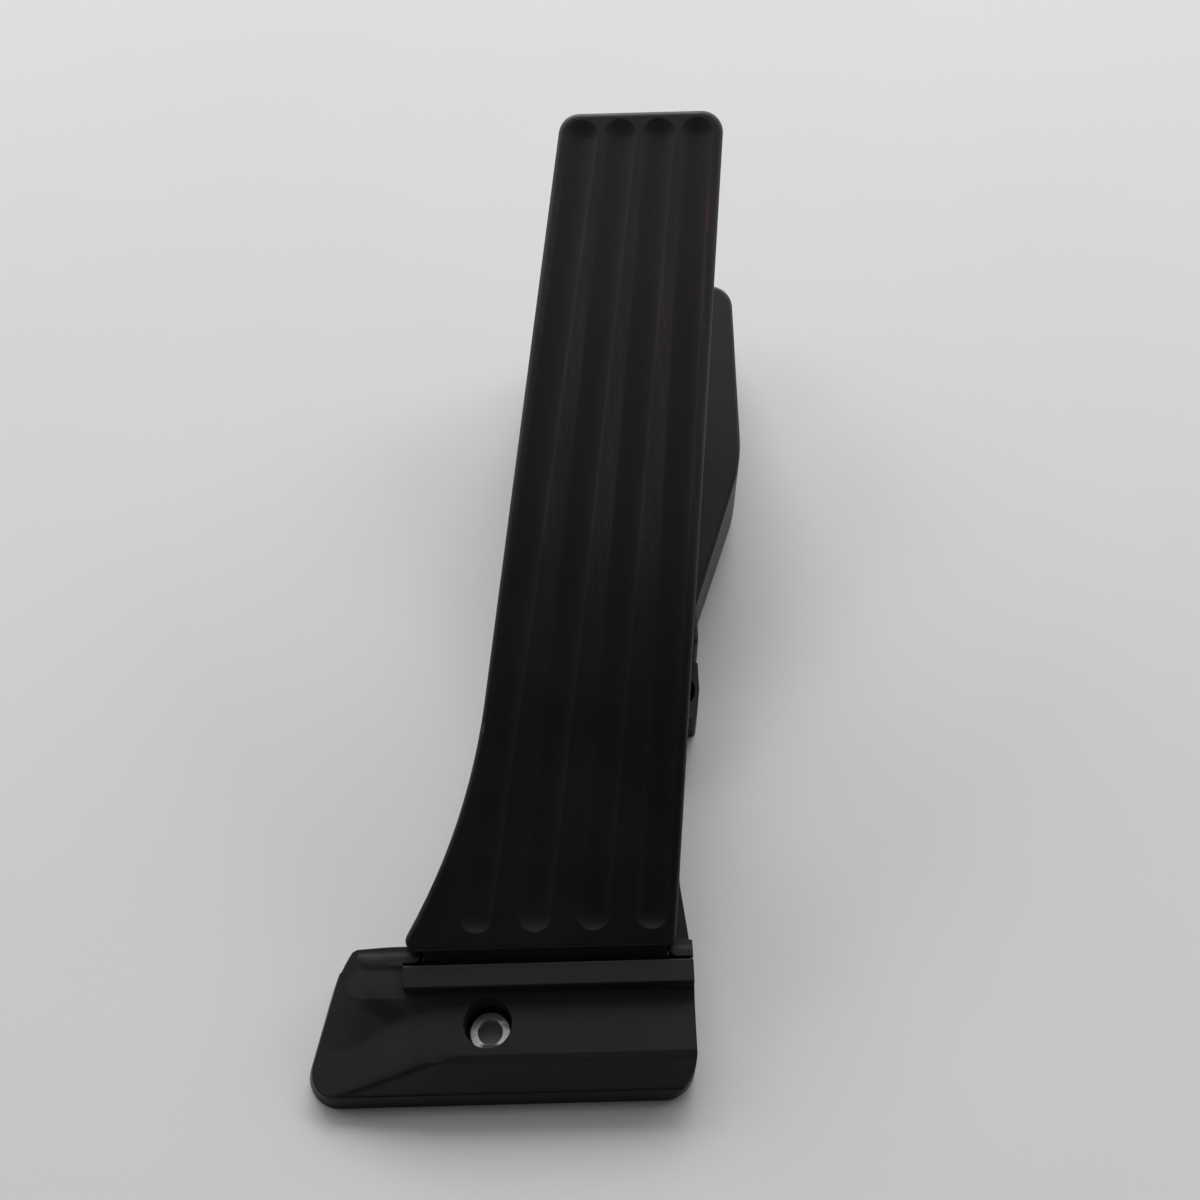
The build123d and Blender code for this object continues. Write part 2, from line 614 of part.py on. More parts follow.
# Cells open to the mounting side, with ribs between them, beside and above the lever's well
with BuildPart() as housing_hollow:
    with BuildSketch():
        add(housing_plan.sketch)
        offset(amount=-HOUSING_WALL, kind=Kind.INTERSECTION, mode=Mode.REPLACE)
    extrude(amount=HOUSING_END)
    with BuildSketch(PAD_FULL.offset(-HOUSING_DROP - HOUSING_FLOOR)):
        Rectangle(2 * HOUSING_END, 3 * HOUSING_END)
    extrude(amount=HOUSING_END, mode=Mode.SUBTRACT)
    block(HOUSING_LEFT, HOUSING_RIGHT, NECK_START, CELLS_START, 0, HOUSING_END, Mode.SUBTRACT)
    well_end = SLOT_END + HOUSING_FLOOR
    block(NECK_LEFT, NECK_RIGHT, NECK_START, well_end, 0, HOUSING_END, Mode.SUBTRACT)
    for i in range(1, int((HOUSING_END - CELLS_START) / RIB_PITCH) + 1):
        rib_at = CELLS_START + i * RIB_PITCH
        block(HOUSING_LEFT, HOUSING_RIGHT, rib_at - RIB / 2, rib_at + RIB / 2, 0, HOUSING_END, Mode.SUBTRACT)
    block(LEVER_X - RIB / 2, LEVER_X + RIB / 2, well_end, HOUSING_END, 0, HOUSING_END, Mode.SUBTRACT)

with BuildPart() as housing:
    with BuildSketch():
        add(housing_plan.sketch)
    extrude(amount=HOUSING_END)
    with BuildSketch(PAD_FULL.offset(-HOUSING_DROP)):
        Rectangle(2 * HOUSING_END, 3 * HOUSING_END)
    extrude(amount=HOUSING_END, mode=Mode.SUBTRACT)
    add(housing_hollow.part, mode=Mode.SUBTRACT)

    # Well of the lever, wider at the hub for the springs
    slot_start = NECK_START + HOUSING_WALL
    block(WELL_LEFT, WELL_RIGHT, slot_start, SLOT_END, HOUSING_FLOOR, HOUSING_END, Mode.SUBTRACT)
    left, right = BOSS_FACE_LEFT, BOSS_FACE_RIGHT
    block(left, right, CHAMBER_START, CHAMBER_END, HOUSING_FLOOR, HOUSING_END, Mode.SUBTRACT)

    # Seats of the bushes, the turning magnet and the springs' tangs
    bush_left = HOUSING_LEFT + BUSH_START
    round_bar(BUSH_OUTER + SEAT_GAP, bush_left, BOSS_FACE_LEFT, PIVOT_Y, PIVOT_Z, Mode.SUBTRACT)
    bush_right = BOSS_FACE_RIGHT + SHAFT_BUSH_LENGTH
    round_bar(BUSH_OUTER + SEAT_GAP, BOSS_FACE_RIGHT, bush_right, PIVOT_Y, PIVOT_Z, Mode.SUBTRACT)
    round_bar(CHAMBER_RADIUS, bush_right, HOUSING_RIGHT, PIVOT_Y, PIVOT_Z, Mode.SUBTRACT)
    for start in (BOSS_FACE_LEFT - SPRING_TANG, BOSS_FACE_RIGHT):
        low_y, high_y = ANCHOR_Y - TANG_HOLE, ANCHOR_Y + TANG_HOLE
        low_z, high_z = ANCHOR_Z - TANG_HOLE, ANCHOR_Z + TANG_HOLE
        block(start, start + SPRING_TANG, low_y, high_y, low_z, high_z, Mode.SUBTRACT)

    # Seats of the two stops and slots for the cover's clips
    seat = IDLE_STOP_HALF + SEAT_GAP
    seat_floor = HOUSING_FLOOR - STOP_SEAT
    left, right = LEVER_X - seat, LEVER_X + seat
    block(left, right, HEEL_Y - seat, HEEL_Y + seat, seat_floor, HOUSING_FLOOR, Mode.SUBTRACT)
    with BuildSketch(PAD_FULL.offset(-HOUSING_DROP)):
        with Locations((LEVER_X, TRAVEL_STOP_V)):
            Rectangle(2 * (TRAVEL_STOP_HALF + SEAT_GAP), 2 * (TRAVEL_STOP_HALF + SEAT_GAP))
    extrude(amount=-STOP_SEAT, mode=Mode.SUBTRACT)
    clip_reach = CLIP_WIDTH / 2 + SEAT_GAP
    clip_play = CLIP_BITE + SEAT_GAP
    clip_high = CLIP_LOW + CLIP_THICKNESS + SEAT_GAP
    for y in CLIP_PLACES:
        low_y, high_y = y - clip_reach, y + clip_reach
        block(CLIP_END, HOUSING_RIGHT, low_y, high_y, CLIP_LOW - clip_play, clip_high, Mode.SUBTRACT)
    low_y, high_y = CLIP_END_Y - clip_play, CLIP_END_Y + CLIP_THICKNESS + SEAT_GAP
    low_z, high_z = CLIP_END_Z - clip_reach, CLIP_END_Z + clip_reach
    block(CLIP_END, HOUSING_RIGHT, low_y, high_y, low_z, high_z, Mode.SUBTRACT)

SPINE_HOLLOW_END = NECK_START - WALL

with BuildPart() as spine_hollow:
    block(SPINE_LEFT + WALL, SPINE_RIGHT - WALL, FOOT_BACK, SPINE_HOLLOW_END, 0, SPINE_HEIGHT - WALL)
    for i in range(1, int((SPINE_HOLLOW_END - FOOT_BACK) / RIB_PITCH) + 1):
        rib_at = FOOT_BACK + i * RIB_PITCH
        block(SPINE_LEFT, SPINE_RIGHT, rib_at - RIB / 2, rib_at + RIB / 2, 0, SPINE_HEIGHT, Mode.SUBTRACT)
    block(LEVER_X - RIB / 2, LEVER_X + RIB / 2, FOOT_BACK, SPINE_HOLLOW_END, 0, SPINE_HEIGHT, Mode.SUBTRACT)

LUG_RIGHT = SIDE_HOLE_X + SIDE_LUG_RADIUS
LUG_TOP = COVER_START - FLANGE_LAP - MOVING_GAP

with BuildPart() as carrier:
    add(foot.part)

    # Back edge rounded, and the slits in front of the cheeks with their round corners
    with BuildSketch(Plane.YZ.offset(FOOT_LEFT_FRONT)):
        with Locations((FOOT_BACK - CHEEK_ROUND, HILL_HEIGHT - CHEEK_ROUND)):
            Rectangle(TRIM, TRIM, align=(Align.MIN, Align.MIN))
            Circle(CHEEK_ROUND, mode=Mode.SUBTRACT)
    extrude(amount=FOOT_RIGHT - FOOT_LEFT_FRONT, mode=Mode.SUBTRACT)
    block(BAR_LEFT, FOOT_RIGHT, BAR_BACK, SLIT_BACK, SLIT_FLOOR, BAR_HEIGHT, Mode.SUBTRACT)
    with BuildSketch(Plane.XY.offset(SLIT_FLOOR)):
        for face, side in ((CHEEK_LEFT, -1), (CHEEK_RIGHT, 1)):
            with Locations((face + side * CHEEK_CORNER / 2, SLIT_BACK + CHEEK_CORNER / 2)):
                Rectangle(CHEEK_CORNER, CHEEK_CORNER)
            with Locations((face + side * CHEEK_CORNER, SLIT_BACK + CHEEK_CORNER)):
                Circle(CHEEK_CORNER, mode=Mode.SUBTRACT)
    extrude(amount=TRIM, mode=Mode.SUBTRACT)

    # Spine that widens towards the foot, the two lugs and the housing body
    spine_end = NECK_START + HOUSING_WALL
    with BuildSketch():
        with BuildLine():
            Polyline(
                (SPINE_FLARE_LEFT, FOOT_BACK - WALL),
                (FOOT_RIGHT, FOOT_BACK - WALL),
                (SPINE_RIGHT, SPINE_FLARE),
                (SPINE_RIGHT, spine_end),
                (SPINE_LEFT, spine_end),
                (SPINE_LEFT, SPINE_FLARE),
                close=True,
            )
        make_face()
    extrude(amount=SPINE_HEIGHT)
    with BuildSketch() as lug_plan:
        with BuildLine():
            Polyline(
                (NECK_RIGHT - HOUSING_WALL, SIDE_LUG_END),
                (SIDE_LUG_TOE, SIDE_LUG_END),
                (LUG_RIGHT, SIDE_HOLE_Y),
                (LUG_RIGHT, LUG_TOP),
                (NECK_RIGHT - HOUSING_WALL, LUG_TOP),
                close=True,
            )
        make_face()
        fillet(lug_plan.vertices().group_by(Axis.Y)[0].sort_by(Axis.X)[-1], SIDE_LUG_CORNER)
    extrude(amount=SIDE_LUG_HEIGHT)
    post(TOP_LUG_RADIUS, TOP_HOLE_X, TOP_HOLE_Y, 0, COLLAR_HEIGHT)
    lug_left, lug_right = TOP_HOLE_X - TOP_LUG_RADIUS, TOP_HOLE_X + TOP_LUG_RADIUS
    block(lug_left, lug_right, HOUSING_END - HOUSING_WALL, TOP_HOLE_Y, 0, COLLAR_HEIGHT)
    add(housing.part)
    block(WELL_LEFT, WELL_RIGHT, slot_start, CHAMBER_END, HOUSING_FLOOR, HOUSING_END, Mode.SUBTRACT)
    add(foot_hollow.part, mode=Mode.SUBTRACT)
    add(spine_hollow.part, mode=Mode.SUBTRACT)

    # Trough of the hinge barrel, open towards the pad
    round_bar(TROUGH_RADIUS, CHEEK_LEFT, CHEEK_RIGHT, HINGE_Y, HINGE_Z, Mode.SUBTRACT)
    lean = (HINGE_Y - BAR_BACK) / (BAR_HEIGHT - HINGE_Z)
    side_profile(
        [
            (HINGE_Y, HINGE_Z),
            (HINGE_Y - TRIM * lean, HINGE_Z + TRIM),
            (FOOT_BACK + TRIM, HINGE_Z + TRIM),
            (FOOT_BACK + TRIM, SPINE_HEIGHT),
            (HINGE_Y, SPINE_HEIGHT),
        ],
        CHEEK_LEFT,
        CHEEK_RIGHT,
        Mode.SUBTRACT,
    )

    # Holes for the hinge pin and its retainer, and for the fixings
    round_bar(HINGE_PIN_RADIUS + SEAT_GAP, PIN_END, FOOT_RIGHT, HINGE_Y, HINGE_Z, Mode.SUBTRACT)
    round_bar(RETAINER_RADIUS + SEAT_GAP, RETAINER_LEFT, FOOT_RIGHT, HINGE_Y, HINGE_Z, Mode.SUBTRACT)
    for x, y in ((0, 0), (SIDE_HOLE_X, SIDE_HOLE_Y), (TOP_HOLE_X, TOP_HOLE_Y)):
        post(COLLAR_SEAT, x, y, 0, COLLAR_HEIGHT, Mode.SUBTRACT)
    post(POCKET_RADIUS, 0, 0, COLLAR_HEIGHT, BAR_HEIGHT, Mode.SUBTRACT)
    post(POCKET_RADIUS, SIDE_HOLE_X, SIDE_HOLE_Y, COLLAR_HEIGHT, SIDE_LUG_HEIGHT, Mode.SUBTRACT)
carrier.part.label = "carrier"
export_step(carrier.part, "parts/carrier.step")

with BuildPart() as mount_collars:
    for x, y in ((0, 0), (SIDE_HOLE_X, SIDE_HOLE_Y), (TOP_HOLE_X, TOP_HOLE_Y)):
        post(COLLAR_RADIUS, x, y, 0, COLLAR_HEIGHT)
        post(COLLAR_BORE, x, y, 0, COLLAR_HEIGHT, Mode.SUBTRACT)
mount_collars.part.label = "mount_collars"
export_step(mount_collars.part, "parts/mount_collars.step")

# Lever with its shaft, bushes and roller

HUB_LEFT = LEVER_X - HUB_HALF
HUB_RIGHT = LEVER_X + HUB_HALF
WEB_LEFT = LEVER_X - LEVER_WIDTH / 2
WEB_RIGHT = LEVER_X + LEVER_WIDTH / 2
ROLLER_HALF = ROLLER_WIDTH / 2
FORK_CUT = ROLLER_RADIUS + 2 * MOVING_GAP
TANG_Y = PIVOT_Y + SPRING_RADIUS * cos(radians(LEVER_ANGLE))
TANG_Z = PIVOT_Z + SPRING_RADIUS * sin(radians(LEVER_ANGLE))

with BuildPart() as drive_lever:
    with BuildSketch(across(WEB_LEFT, PIVOT_Y, PIVOT_Z, LEVER_ANGLE)):
        Circle(HUB_RADIUS)
        with Locations((LEVER_LENGTH, 0)):
            Circle(FORK_RADIUS)
        make_hull()
    extrude(amount=LEVER_WIDTH)
    with BuildSketch(across(WEB_LEFT, PIVOT_Y, PIVOT_Z, 0)):
        Circle(HUB_RADIUS)
        with Locations((-HEEL_REACH, -HEEL_DROP)):
            Circle(HEEL_RADIUS)
        make_hull()
    extrude(amount=LEVER_WIDTH)

    # Hollow sides that leave a web between two flanges
    pocket_start = SPRING_RADIUS + TANG_HOLE + LEVER_WALL
    pocket_end = LEVER_LENGTH - FORK_LENGTH - LEVER_WALL
    pocket_depth = (LEVER_WIDTH - LEVER_WEB) / 2
    slim = (HUB_RADIUS - FORK_RADIUS) / LEVER_LENGTH
    start_half = HUB_RADIUS - slim * pocket_start - LEVER_WALL
    end_half = HUB_RADIUS - slim * pocket_end - LEVER_WALL
    for x in (WEB_LEFT, WEB_RIGHT - pocket_depth):
        with BuildSketch(across(x, PIVOT_Y, PIVOT_Z, LEVER_ANGLE)):
            with BuildLine():
                Polyline(
                    (pocket_start, -start_half),
                    (pocket_end, -end_half),
                    (pocket_end, end_half),
                    (pocket_start, start_half),
                    close=True,
                )
            make_face()
        extrude(amount=pocket_depth, mode=Mode.SUBTRACT)

    # Fork about the roller
    with BuildSketch(across(LEVER_X - FORK_HALF, PIVOT_Y, PIVOT_Z, LEVER_ANGLE)):
        with Locations((LEVER_LENGTH - FORK_LENGTH / 2, 0)):
            Rectangle(FORK_LENGTH, 2 * FORK_RADIUS)
        with Locations((LEVER_LENGTH, 0)):
            Circle(FORK_RADIUS)
    extrude(amount=2 * FORK_HALF)
    with BuildSketch(across(LEVER_X - ROLLER_HALF - MOVING_GAP, PIVOT_Y, PIVOT_Z, LEVER_ANGLE)):
        with Locations((LEVER_LENGTH - FORK_CUT, 0)):
            Rectangle(2 * FORK_CUT, 4 * FORK_RADIUS, align=(Align.MIN, Align.CENTER))
    extrude(amount=2 * (ROLLER_HALF + MOVING_GAP), mode=Mode.SUBTRACT)

    # Hub with the holes for the shaft, the springs' tangs and the roller's pin
    round_bar(SPRING_BOSS_RADIUS, HUB_LEFT, HUB_RIGHT, PIVOT_Y, PIVOT_Z)
    round_bar(SHAFT_RADIUS + SEAT_GAP, HUB_LEFT, HUB_RIGHT, PIVOT_Y, PIVOT_Z, Mode.SUBTRACT)
    low_y, high_y = TANG_Y - TANG_HOLE, TANG_Y + TANG_HOLE
    low_z, high_z = TANG_Z - TANG_HOLE, TANG_Z + TANG_HOLE
    for start in (WEB_LEFT, WEB_RIGHT - SPRING_TANG):
        block(start, start + SPRING_TANG, low_y, high_y, low_z, high_z, Mode.SUBTRACT)
    fork_hole = ROLLER_PIN_RADIUS + SEAT_GAP
    round_bar(fork_hole, LEVER_X - FORK_HALF, LEVER_X + FORK_HALF, ROLLER_AT.Y, ROLLER_AT.Z, Mode.SUBTRACT)
drive_lever.part.label = "drive_lever"
export_step(drive_lever.part, "parts/drive_lever.step")

SHAFT_LEFT = HOUSING_LEFT + BUSH_START + MOVING_GAP
SHAFT_RIGHT = BOSS_FACE_RIGHT + SHAFT_BUSH_LENGTH + MOVING_GAP

with BuildPart() as lever_shaft:
    round_bar(SHAFT_RADIUS, SHAFT_LEFT, SHAFT_RIGHT, PIVOT_Y, PIVOT_Z)
    low_y, high_y = PIVOT_Y - SHAFT_TIP_HALF, PIVOT_Y + SHAFT_TIP_HALF
    low_z, high_z = PIVOT_Z - SHAFT_TIP_HALF, PIVOT_Z + SHAFT_TIP_HALF
    block(SHAFT_RIGHT, SHAFT_RIGHT + SHAFT_TIP, low_y, high_y, low_z, high_z)
lever_shaft.part.label = "lever_shaft"
export_step(lever_shaft.part, "parts/lever_shaft.step")

with BuildPart() as shaft_bushes:
    for start, end in ((bush_left, BOSS_FACE_LEFT), (BOSS_FACE_RIGHT, bush_right)):
        round_bar(BUSH_OUTER, start, end, PIVOT_Y, PIVOT_Z)
        round_bar(SHAFT_RADIUS + RUNNING_GAP, start, end, PIVOT_Y, PIVOT_Z, Mode.SUBTRACT)
shaft_bushes.part.label = "shaft_bushes"
export_step(shaft_bushes.part, "parts/shaft_bushes.step")

with BuildPart() as roller_pin:
    pin_half = RAIL_NEAR + RAIL
    round_bar(ROLLER_PIN_RADIUS, LEVER_X - pin_half, LEVER_X + pin_half, ROLLER_AT.Y, ROLLER_AT.Z)
roller_pin.part.label = "roller_pin"
export_step(roller_pin.part, "parts/roller_pin.step")

with BuildPart() as lever_roller:
    roller_left, roller_right = LEVER_X - ROLLER_HALF, LEVER_X + ROLLER_HALF
    round_bar(ROLLER_RADIUS, roller_left, roller_right, ROLLER_AT.Y, ROLLER_AT.Z)
    roller_bore = ROLLER_PIN_RADIUS + RUNNING_GAP
    round_bar(roller_bore, roller_left, roller_right, ROLLER_AT.Y, ROLLER_AT.Z, Mode.SUBTRACT)
lever_roller.part.label = "lever_roller"
export_step(lever_roller.part, "parts/lever_roller.step")

# Torsion springs, the right one a mirror image of the left

COIL_LENGTH = SPRING_TURNS * SPRING_PITCH
COIL_MARGIN = (WEB_LEFT - BOSS_FACE_LEFT - COIL_LENGTH) / 2
COIL_START = BOSS_FACE_LEFT + COIL_MARGIN


def coil_point(step):
    """Point of the wire's middle after that many steps from the housing's end of the left spring."""
    turned = radians(ANCHOR_ANGLE - 360 * step / COIL_SIDES)
    x = COIL_START + SPRING_PITCH * step / COIL_SIDES
    return x, PIVOT_Y + SPRING_RADIUS * cos(turned), PIVOT_Z + SPRING_RADIUS * sin(turned)


TANG_REACH = SPRING_TANG - RUNNING_GAP

with BuildPart() as return_spring_left:
    with BuildLine() as wire:
        Polyline(
            (BOSS_FACE_LEFT - TANG_REACH, ANCHOR_Y, ANCHOR_Z),
            *[coil_point(step) for step in range(int(SPRING_TURNS * COIL_SIDES) + 1)],
            (WEB_LEFT + TANG_REACH, TANG_Y, TANG_Z),
        )
    with BuildSketch(Plane.YZ.offset(BOSS_FACE_LEFT - TANG_REACH)):
        with Locations((ANCHOR_Y, ANCHOR_Z)):
            RegularPolygon(SPRING_WIRE / 2, WIRE_SIDES)
    sweep(path=wire.wires()[0], transition=Transition.RIGHT)
return_spring_left.part.label = "return_spring_left"
export_step(return_spring_left.part, "parts/return_spring_left.step")

with BuildPart() as return_spring_right:
    mirror(return_spring_left.part, about=Plane.YZ.offset(LEVER_X))
return_spring_right.part.label = "return_spring_right"
export_step(return_spring_right.part, "parts/return_spring_right.step")

# Rubber stops

HEEL_BOTTOM = PIVOT_Z - HUB_RADIUS

with BuildPart() as idle_stop:
    low_y, high_y = HEEL_Y - IDLE_STOP_HALF, HEEL_Y + IDLE_STOP_HALF
    left, right = LEVER_X - IDLE_STOP_HALF, LEVER_X + IDLE_STOP_HALF
    block(left, right, low_y, high_y, HOUSING_FLOOR - STOP_SEAT, HEEL_BOTTOM - MOVING_GAP)
idle_stop.part.label = "idle_stop"
export_step(idle_stop.part, "parts/idle_stop.step")

with BuildPart() as travel_stop:
    with BuildSketch(PAD_FULL.offset(-HOUSING_DROP - STOP_SEAT)):
        with Locations((LEVER_X, TRAVEL_STOP_V)):
            Rectangle(2 * TRAVEL_STOP_HALF, 2 * TRAVEL_STOP_HALF)
    extrude(amount=HOUSING_DROP + STOP_SEAT + PAD_RIM - MOVING_GAP)
travel_stop.part.label = "travel_stop"
export_step(travel_stop.part, "parts/travel_stop.step")

# Turning magnet on the shaft's end

MAGNET_RIGHT = HOUSING_RIGHT - MOVING_GAP
MAGNET_LEFT = MAGNET_RIGHT - MAGNET_LENGTH

with BuildPart() as magnet_holder:
    round_bar(HOLDER_RADIUS, SHAFT_RIGHT, MAGNET_RIGHT, PIVOT_Y, PIVOT_Z)
    tip = SHAFT_TIP_HALF + SEAT_GAP
    low_y, high_y = PIVOT_Y - tip, PIVOT_Y + tip
    block(SHAFT_RIGHT, SHAFT_RIGHT + SHAFT_TIP, low_y, high_y, PIVOT_Z - tip, PIVOT_Z + tip, Mode.SUBTRACT)
    pocket = MAGNET_HALF + SEAT_GAP
    low_y, high_y = PIVOT_Y - pocket, PIVOT_Y + pocket
    block(MAGNET_LEFT, MAGNET_RIGHT, low_y, high_y, PIVOT_Z - pocket, PIVOT_Z + pocket, Mode.SUBTRACT)
magnet_holder.part.label = "magnet_holder"
export_step(magnet_holder.part, "parts/magnet_holder.step")

with BuildPart() as sensor_magnet:
    low_y, high_y = PIVOT_Y - MAGNET_HALF, PIVOT_Y + MAGNET_HALF
    low_z, high_z = PIVOT_Z - MAGNET_HALF, PIVOT_Z + MAGNET_HALF
    block(MAGNET_LEFT, MAGNET_RIGHT, low_y, high_y, low_z, high_z)
sensor_magnet.part.label = "sensor_magnet"
export_step(sensor_magnet.part, "parts/sensor_magnet.step")

# Cover with its socket: plan drawn past the housing's side, then trimmed there

with BuildSketch() as cover_plan:
    with BuildLine():
        Polyline(
            (HOUSING_RIGHT - TRIM, COVER_START),
            (COVER_NOSE, COVER_START),
            (COVER_NOSE, COVER_TAPER_START),
            (COVER_RIGHT, COVER_TAPER_END),
            (COVER_RIGHT, COVER_END),
            (HOUSING_RIGHT - TRIM, COVER_END),
            close=True,
        )
    make_face()
    for corner, radius in ((3, COVER_CORNER), (2, COVER_TAPER_RADIUS), (0, COVER_NOSE_RADIUS)):
        corners = cover_plan.vertices().filter_by_position(Axis.X, COVER_NOSE, COVER_RIGHT)
        fillet(corners.sort_by(Axis.Y)[corner], radius)

with BuildSketch() as cover_side:
    with BuildLine():
        Polyline(
            (COVER_START, COVER_BOTTOM),
            (COVER_END, COVER_BOTTOM),
            (COVER_END, front_z(COVER_END)),
            (COVER_START, front_z(COVER_START)),
            close=True,
        )
    make_face()

SOCKET_END = COVER_END + SOCKET_LENGTH
SOCKET_FLOOR = SOCKET_END - SOCKET_DEPTH
BOARD_LEFT = HOUSING_RIGHT + BOARD_STANDOFF
BOARD_RIGHT = BOARD_LEFT + BOARD_THICKNESS
FLANGE_RIGHT = HOUSING_RIGHT + FLANGE_THICKNESS
TERMINALS = [(i, SOCKET_Z + row * PIN_PITCH_Z / 2) for i in range(3) for row in (-1, 1)]
POST_Z = (COVER_BOTTOM + front_z(COVER_START)) / 2

with BuildPart() as cover_hollow:
    with BuildSketch(Plane.XY.offset(COVER_BOTTOM + COVER_WALL)):
        add(cover_plan.sketch)
        offset(amount=-COVER_WALL, mode=Mode.REPLACE)
    extrude(amount=HOUSING_END)
    with BuildSketch(PAD_FULL.offset(-HOUSING_DROP - COVER_WALL)):
        Rectangle(2 * HOUSING_END, 3 * HOUSING_END)
    extrude(amount=HOUSING_END, mode=Mode.SUBTRACT)

with BuildPart() as sensor_cover:
    with BuildSketch(Plane.XY.offset(COVER_BOTTOM)):
        add(cover_plan.sketch)
    extrude(amount=HOUSING_END)
    with BuildSketch(PAD_FULL.offset(-HOUSING_DROP)):
        Rectangle(2 * HOUSING_END, 3 * HOUSING_END)
    extrude(amount=HOUSING_END, mode=Mode.SUBTRACT)
    lid = sensor_cover.faces().sort_by(Axis(PAD_FULL.origin, PAD_FULL.z_dir))[-1]
    fillet(lid.edges().sort_by(Axis.X)[1:], COVER_EDGE)
    socket_left, socket_right = SOCKET_X - SOCKET_WIDTH / 2, SOCKET_X + SOCKET_WIDTH / 2
    socket_low, socket_high = SOCKET_Z - SOCKET_HEIGHT / 2, SOCKET_Z + SOCKET_HEIGHT / 2
    block(socket_left, socket_right, COVER_END - COVER_CORNER, SOCKET_END, socket_low, socket_high)
    add(cover_hollow.part, mode=Mode.SUBTRACT)
    trim_left = HOUSING_RIGHT - TRIM
    block(trim_left, HOUSING_RIGHT, COVER_START, COVER_END, COVER_BOTTOM, HOUSING_END, Mode.SUBTRACT)

    # Flange against the housing, thicker about the seal
    flange_start = COVER_START - FLANGE_LAP
    side_profile(
        [
            (flange_start, FLANGE_BOTTOM),
            (HOUSING_END, FLANGE_BOTTOM),
            (HOUSING_END, front_z(HOUSING_END)),
            (flange_start, front_z(flange_start)),
        ],
        HOUSING_RIGHT,
        FLANGE_RIGHT,
    )
    with BuildSketch(Plane.YZ.offset(HOUSING_RIGHT)):
        add(cover_side.sketch)
        offset(amount=-COVER_FOOT, kind=Kind.INTERSECTION, mode=Mode.REPLACE)
    extrude(amount=FLANGE_THICKNESS, mode=Mode.SUBTRACT)
    seal_inset = (COVER_FOOT - SEAL_WIDTH) / 2
    with BuildSketch(Plane.YZ.offset(HOUSING_RIGHT)):
        with BuildSketch(mode=Mode.PRIVATE) as seal_outer:
            add(cover_side.sketch)
            offset(amount=SEAT_GAP - seal_inset, kind=Kind.INTERSECTION, mode=Mode.REPLACE)
        with BuildSketch(mode=Mode.PRIVATE) as seal_inner:
            add(cover_side.sketch)
            offset(amount=-seal_inset - SEAL_WIDTH - SEAT_GAP, kind=Kind.INTERSECTION, mode=Mode.REPLACE)
        add(seal_outer.sketch)
        add(seal_inner.sketch, mode=Mode.SUBTRACT)
    extrude(amount=SEAL_HEIGHT + SEAT_GAP, mode=Mode.SUBTRACT)

    # Clips that snap through the housing's wall
    nose_end = CLIP_END + CLIP_NOSE - SEAT_GAP
    clip_top = CLIP_LOW + CLIP_THICKNESS
    for y in CLIP_PLACES:
        low_y, high_y = y - CLIP_WIDTH / 2, y + CLIP_WIDTH / 2
        block(CLIP_END, HOUSING_RIGHT, low_y, high_y, CLIP_LOW, clip_top)
        block(CLIP_END, nose_end, low_y, high_y, clip_top, clip_top + CLIP_BITE)
    low_z, high_z = CLIP_END_Z - CLIP_WIDTH / 2, CLIP_END_Z + CLIP_WIDTH / 2
    clip_back = CLIP_END_Y + CLIP_THICKNESS
    block(CLIP_END, HOUSING_RIGHT, CLIP_END_Y, clip_back, low_z, high_z)
    block(CLIP_END, nose_end, clip_back, clip_back + CLIP_BITE, low_z, high_z)

    # Mouth of the socket and the holes of its terminals
    block(
        socket_left + SOCKET_WALL,
        socket_right - SOCKET_WALL,
        SOCKET_FLOOR,
        SOCKET_END,
        socket_low + SOCKET_WALL,
        socket_high - SOCKET_WALL,
        Mode.SUBTRACT,
    )
    pin_hole = PIN_SIZE / 2 + SEAT_GAP
    for i, z in TERMINALS:
        x = SOCKET_X + (i - 1) * PIN_PITCH_X
        hole_start = COVER_END - COVER_WALL
        left, right = x - pin_hole, x + pin_hole
        block(left, right, hole_start, SOCKET_FLOOR, z - pin_hole, z + pin_hole, Mode.SUBTRACT)

    # Posts that carry the circuit board
    for y in BOARD_POST_Y:
        post_end = COVER_RIGHT - COVER_WALL
        low_z, high_z = POST_Z - BOARD_POST, POST_Z + BOARD_POST
        block(BOARD_RIGHT, post_end, y - BOARD_POST, y + BOARD_POST, low_z, high_z)
        low_z, high_z = POST_Z - BOARD_PEG, POST_Z + BOARD_PEG
        block(BOARD_LEFT, BOARD_RIGHT, y - BOARD_PEG, y + BOARD_PEG, low_z, high_z)
sensor_cover.part.label = "sensor_cover"
export_step(sensor_cover.part, "parts/sensor_cover.step")

with BuildPart() as cover_seal:
    with BuildSketch(Plane.YZ.offset(HOUSING_RIGHT)):
        with BuildSketch(mode=Mode.PRIVATE) as ring_outer:
            add(cover_side.sketch)
            offset(amount=-seal_inset, kind=Kind.INTERSECTION, mode=Mode.REPLACE)
        with BuildSketch(mode=Mode.PRIVATE) as ring_inner:
            add(cover_side.sketch)
            offset(amount=-seal_inset - SEAL_WIDTH, kind=Kind.INTERSECTION, mode=Mode.REPLACE)
        add(ring_outer.sketch)
        add(ring_inner.sketch, mode=Mode.SUBTRACT)
    extrude(amount=SEAL_HEIGHT)
cover_seal.part.label = "cover_seal"
export_step(cover_seal.part, "parts/cover_seal.step")

# Circuit board, its two sensors over the magnet and the terminals

BOARD_INSET = COVER_FOOT + MOVING_GAP
BOARD_END = COVER_END - BOARD_INSET

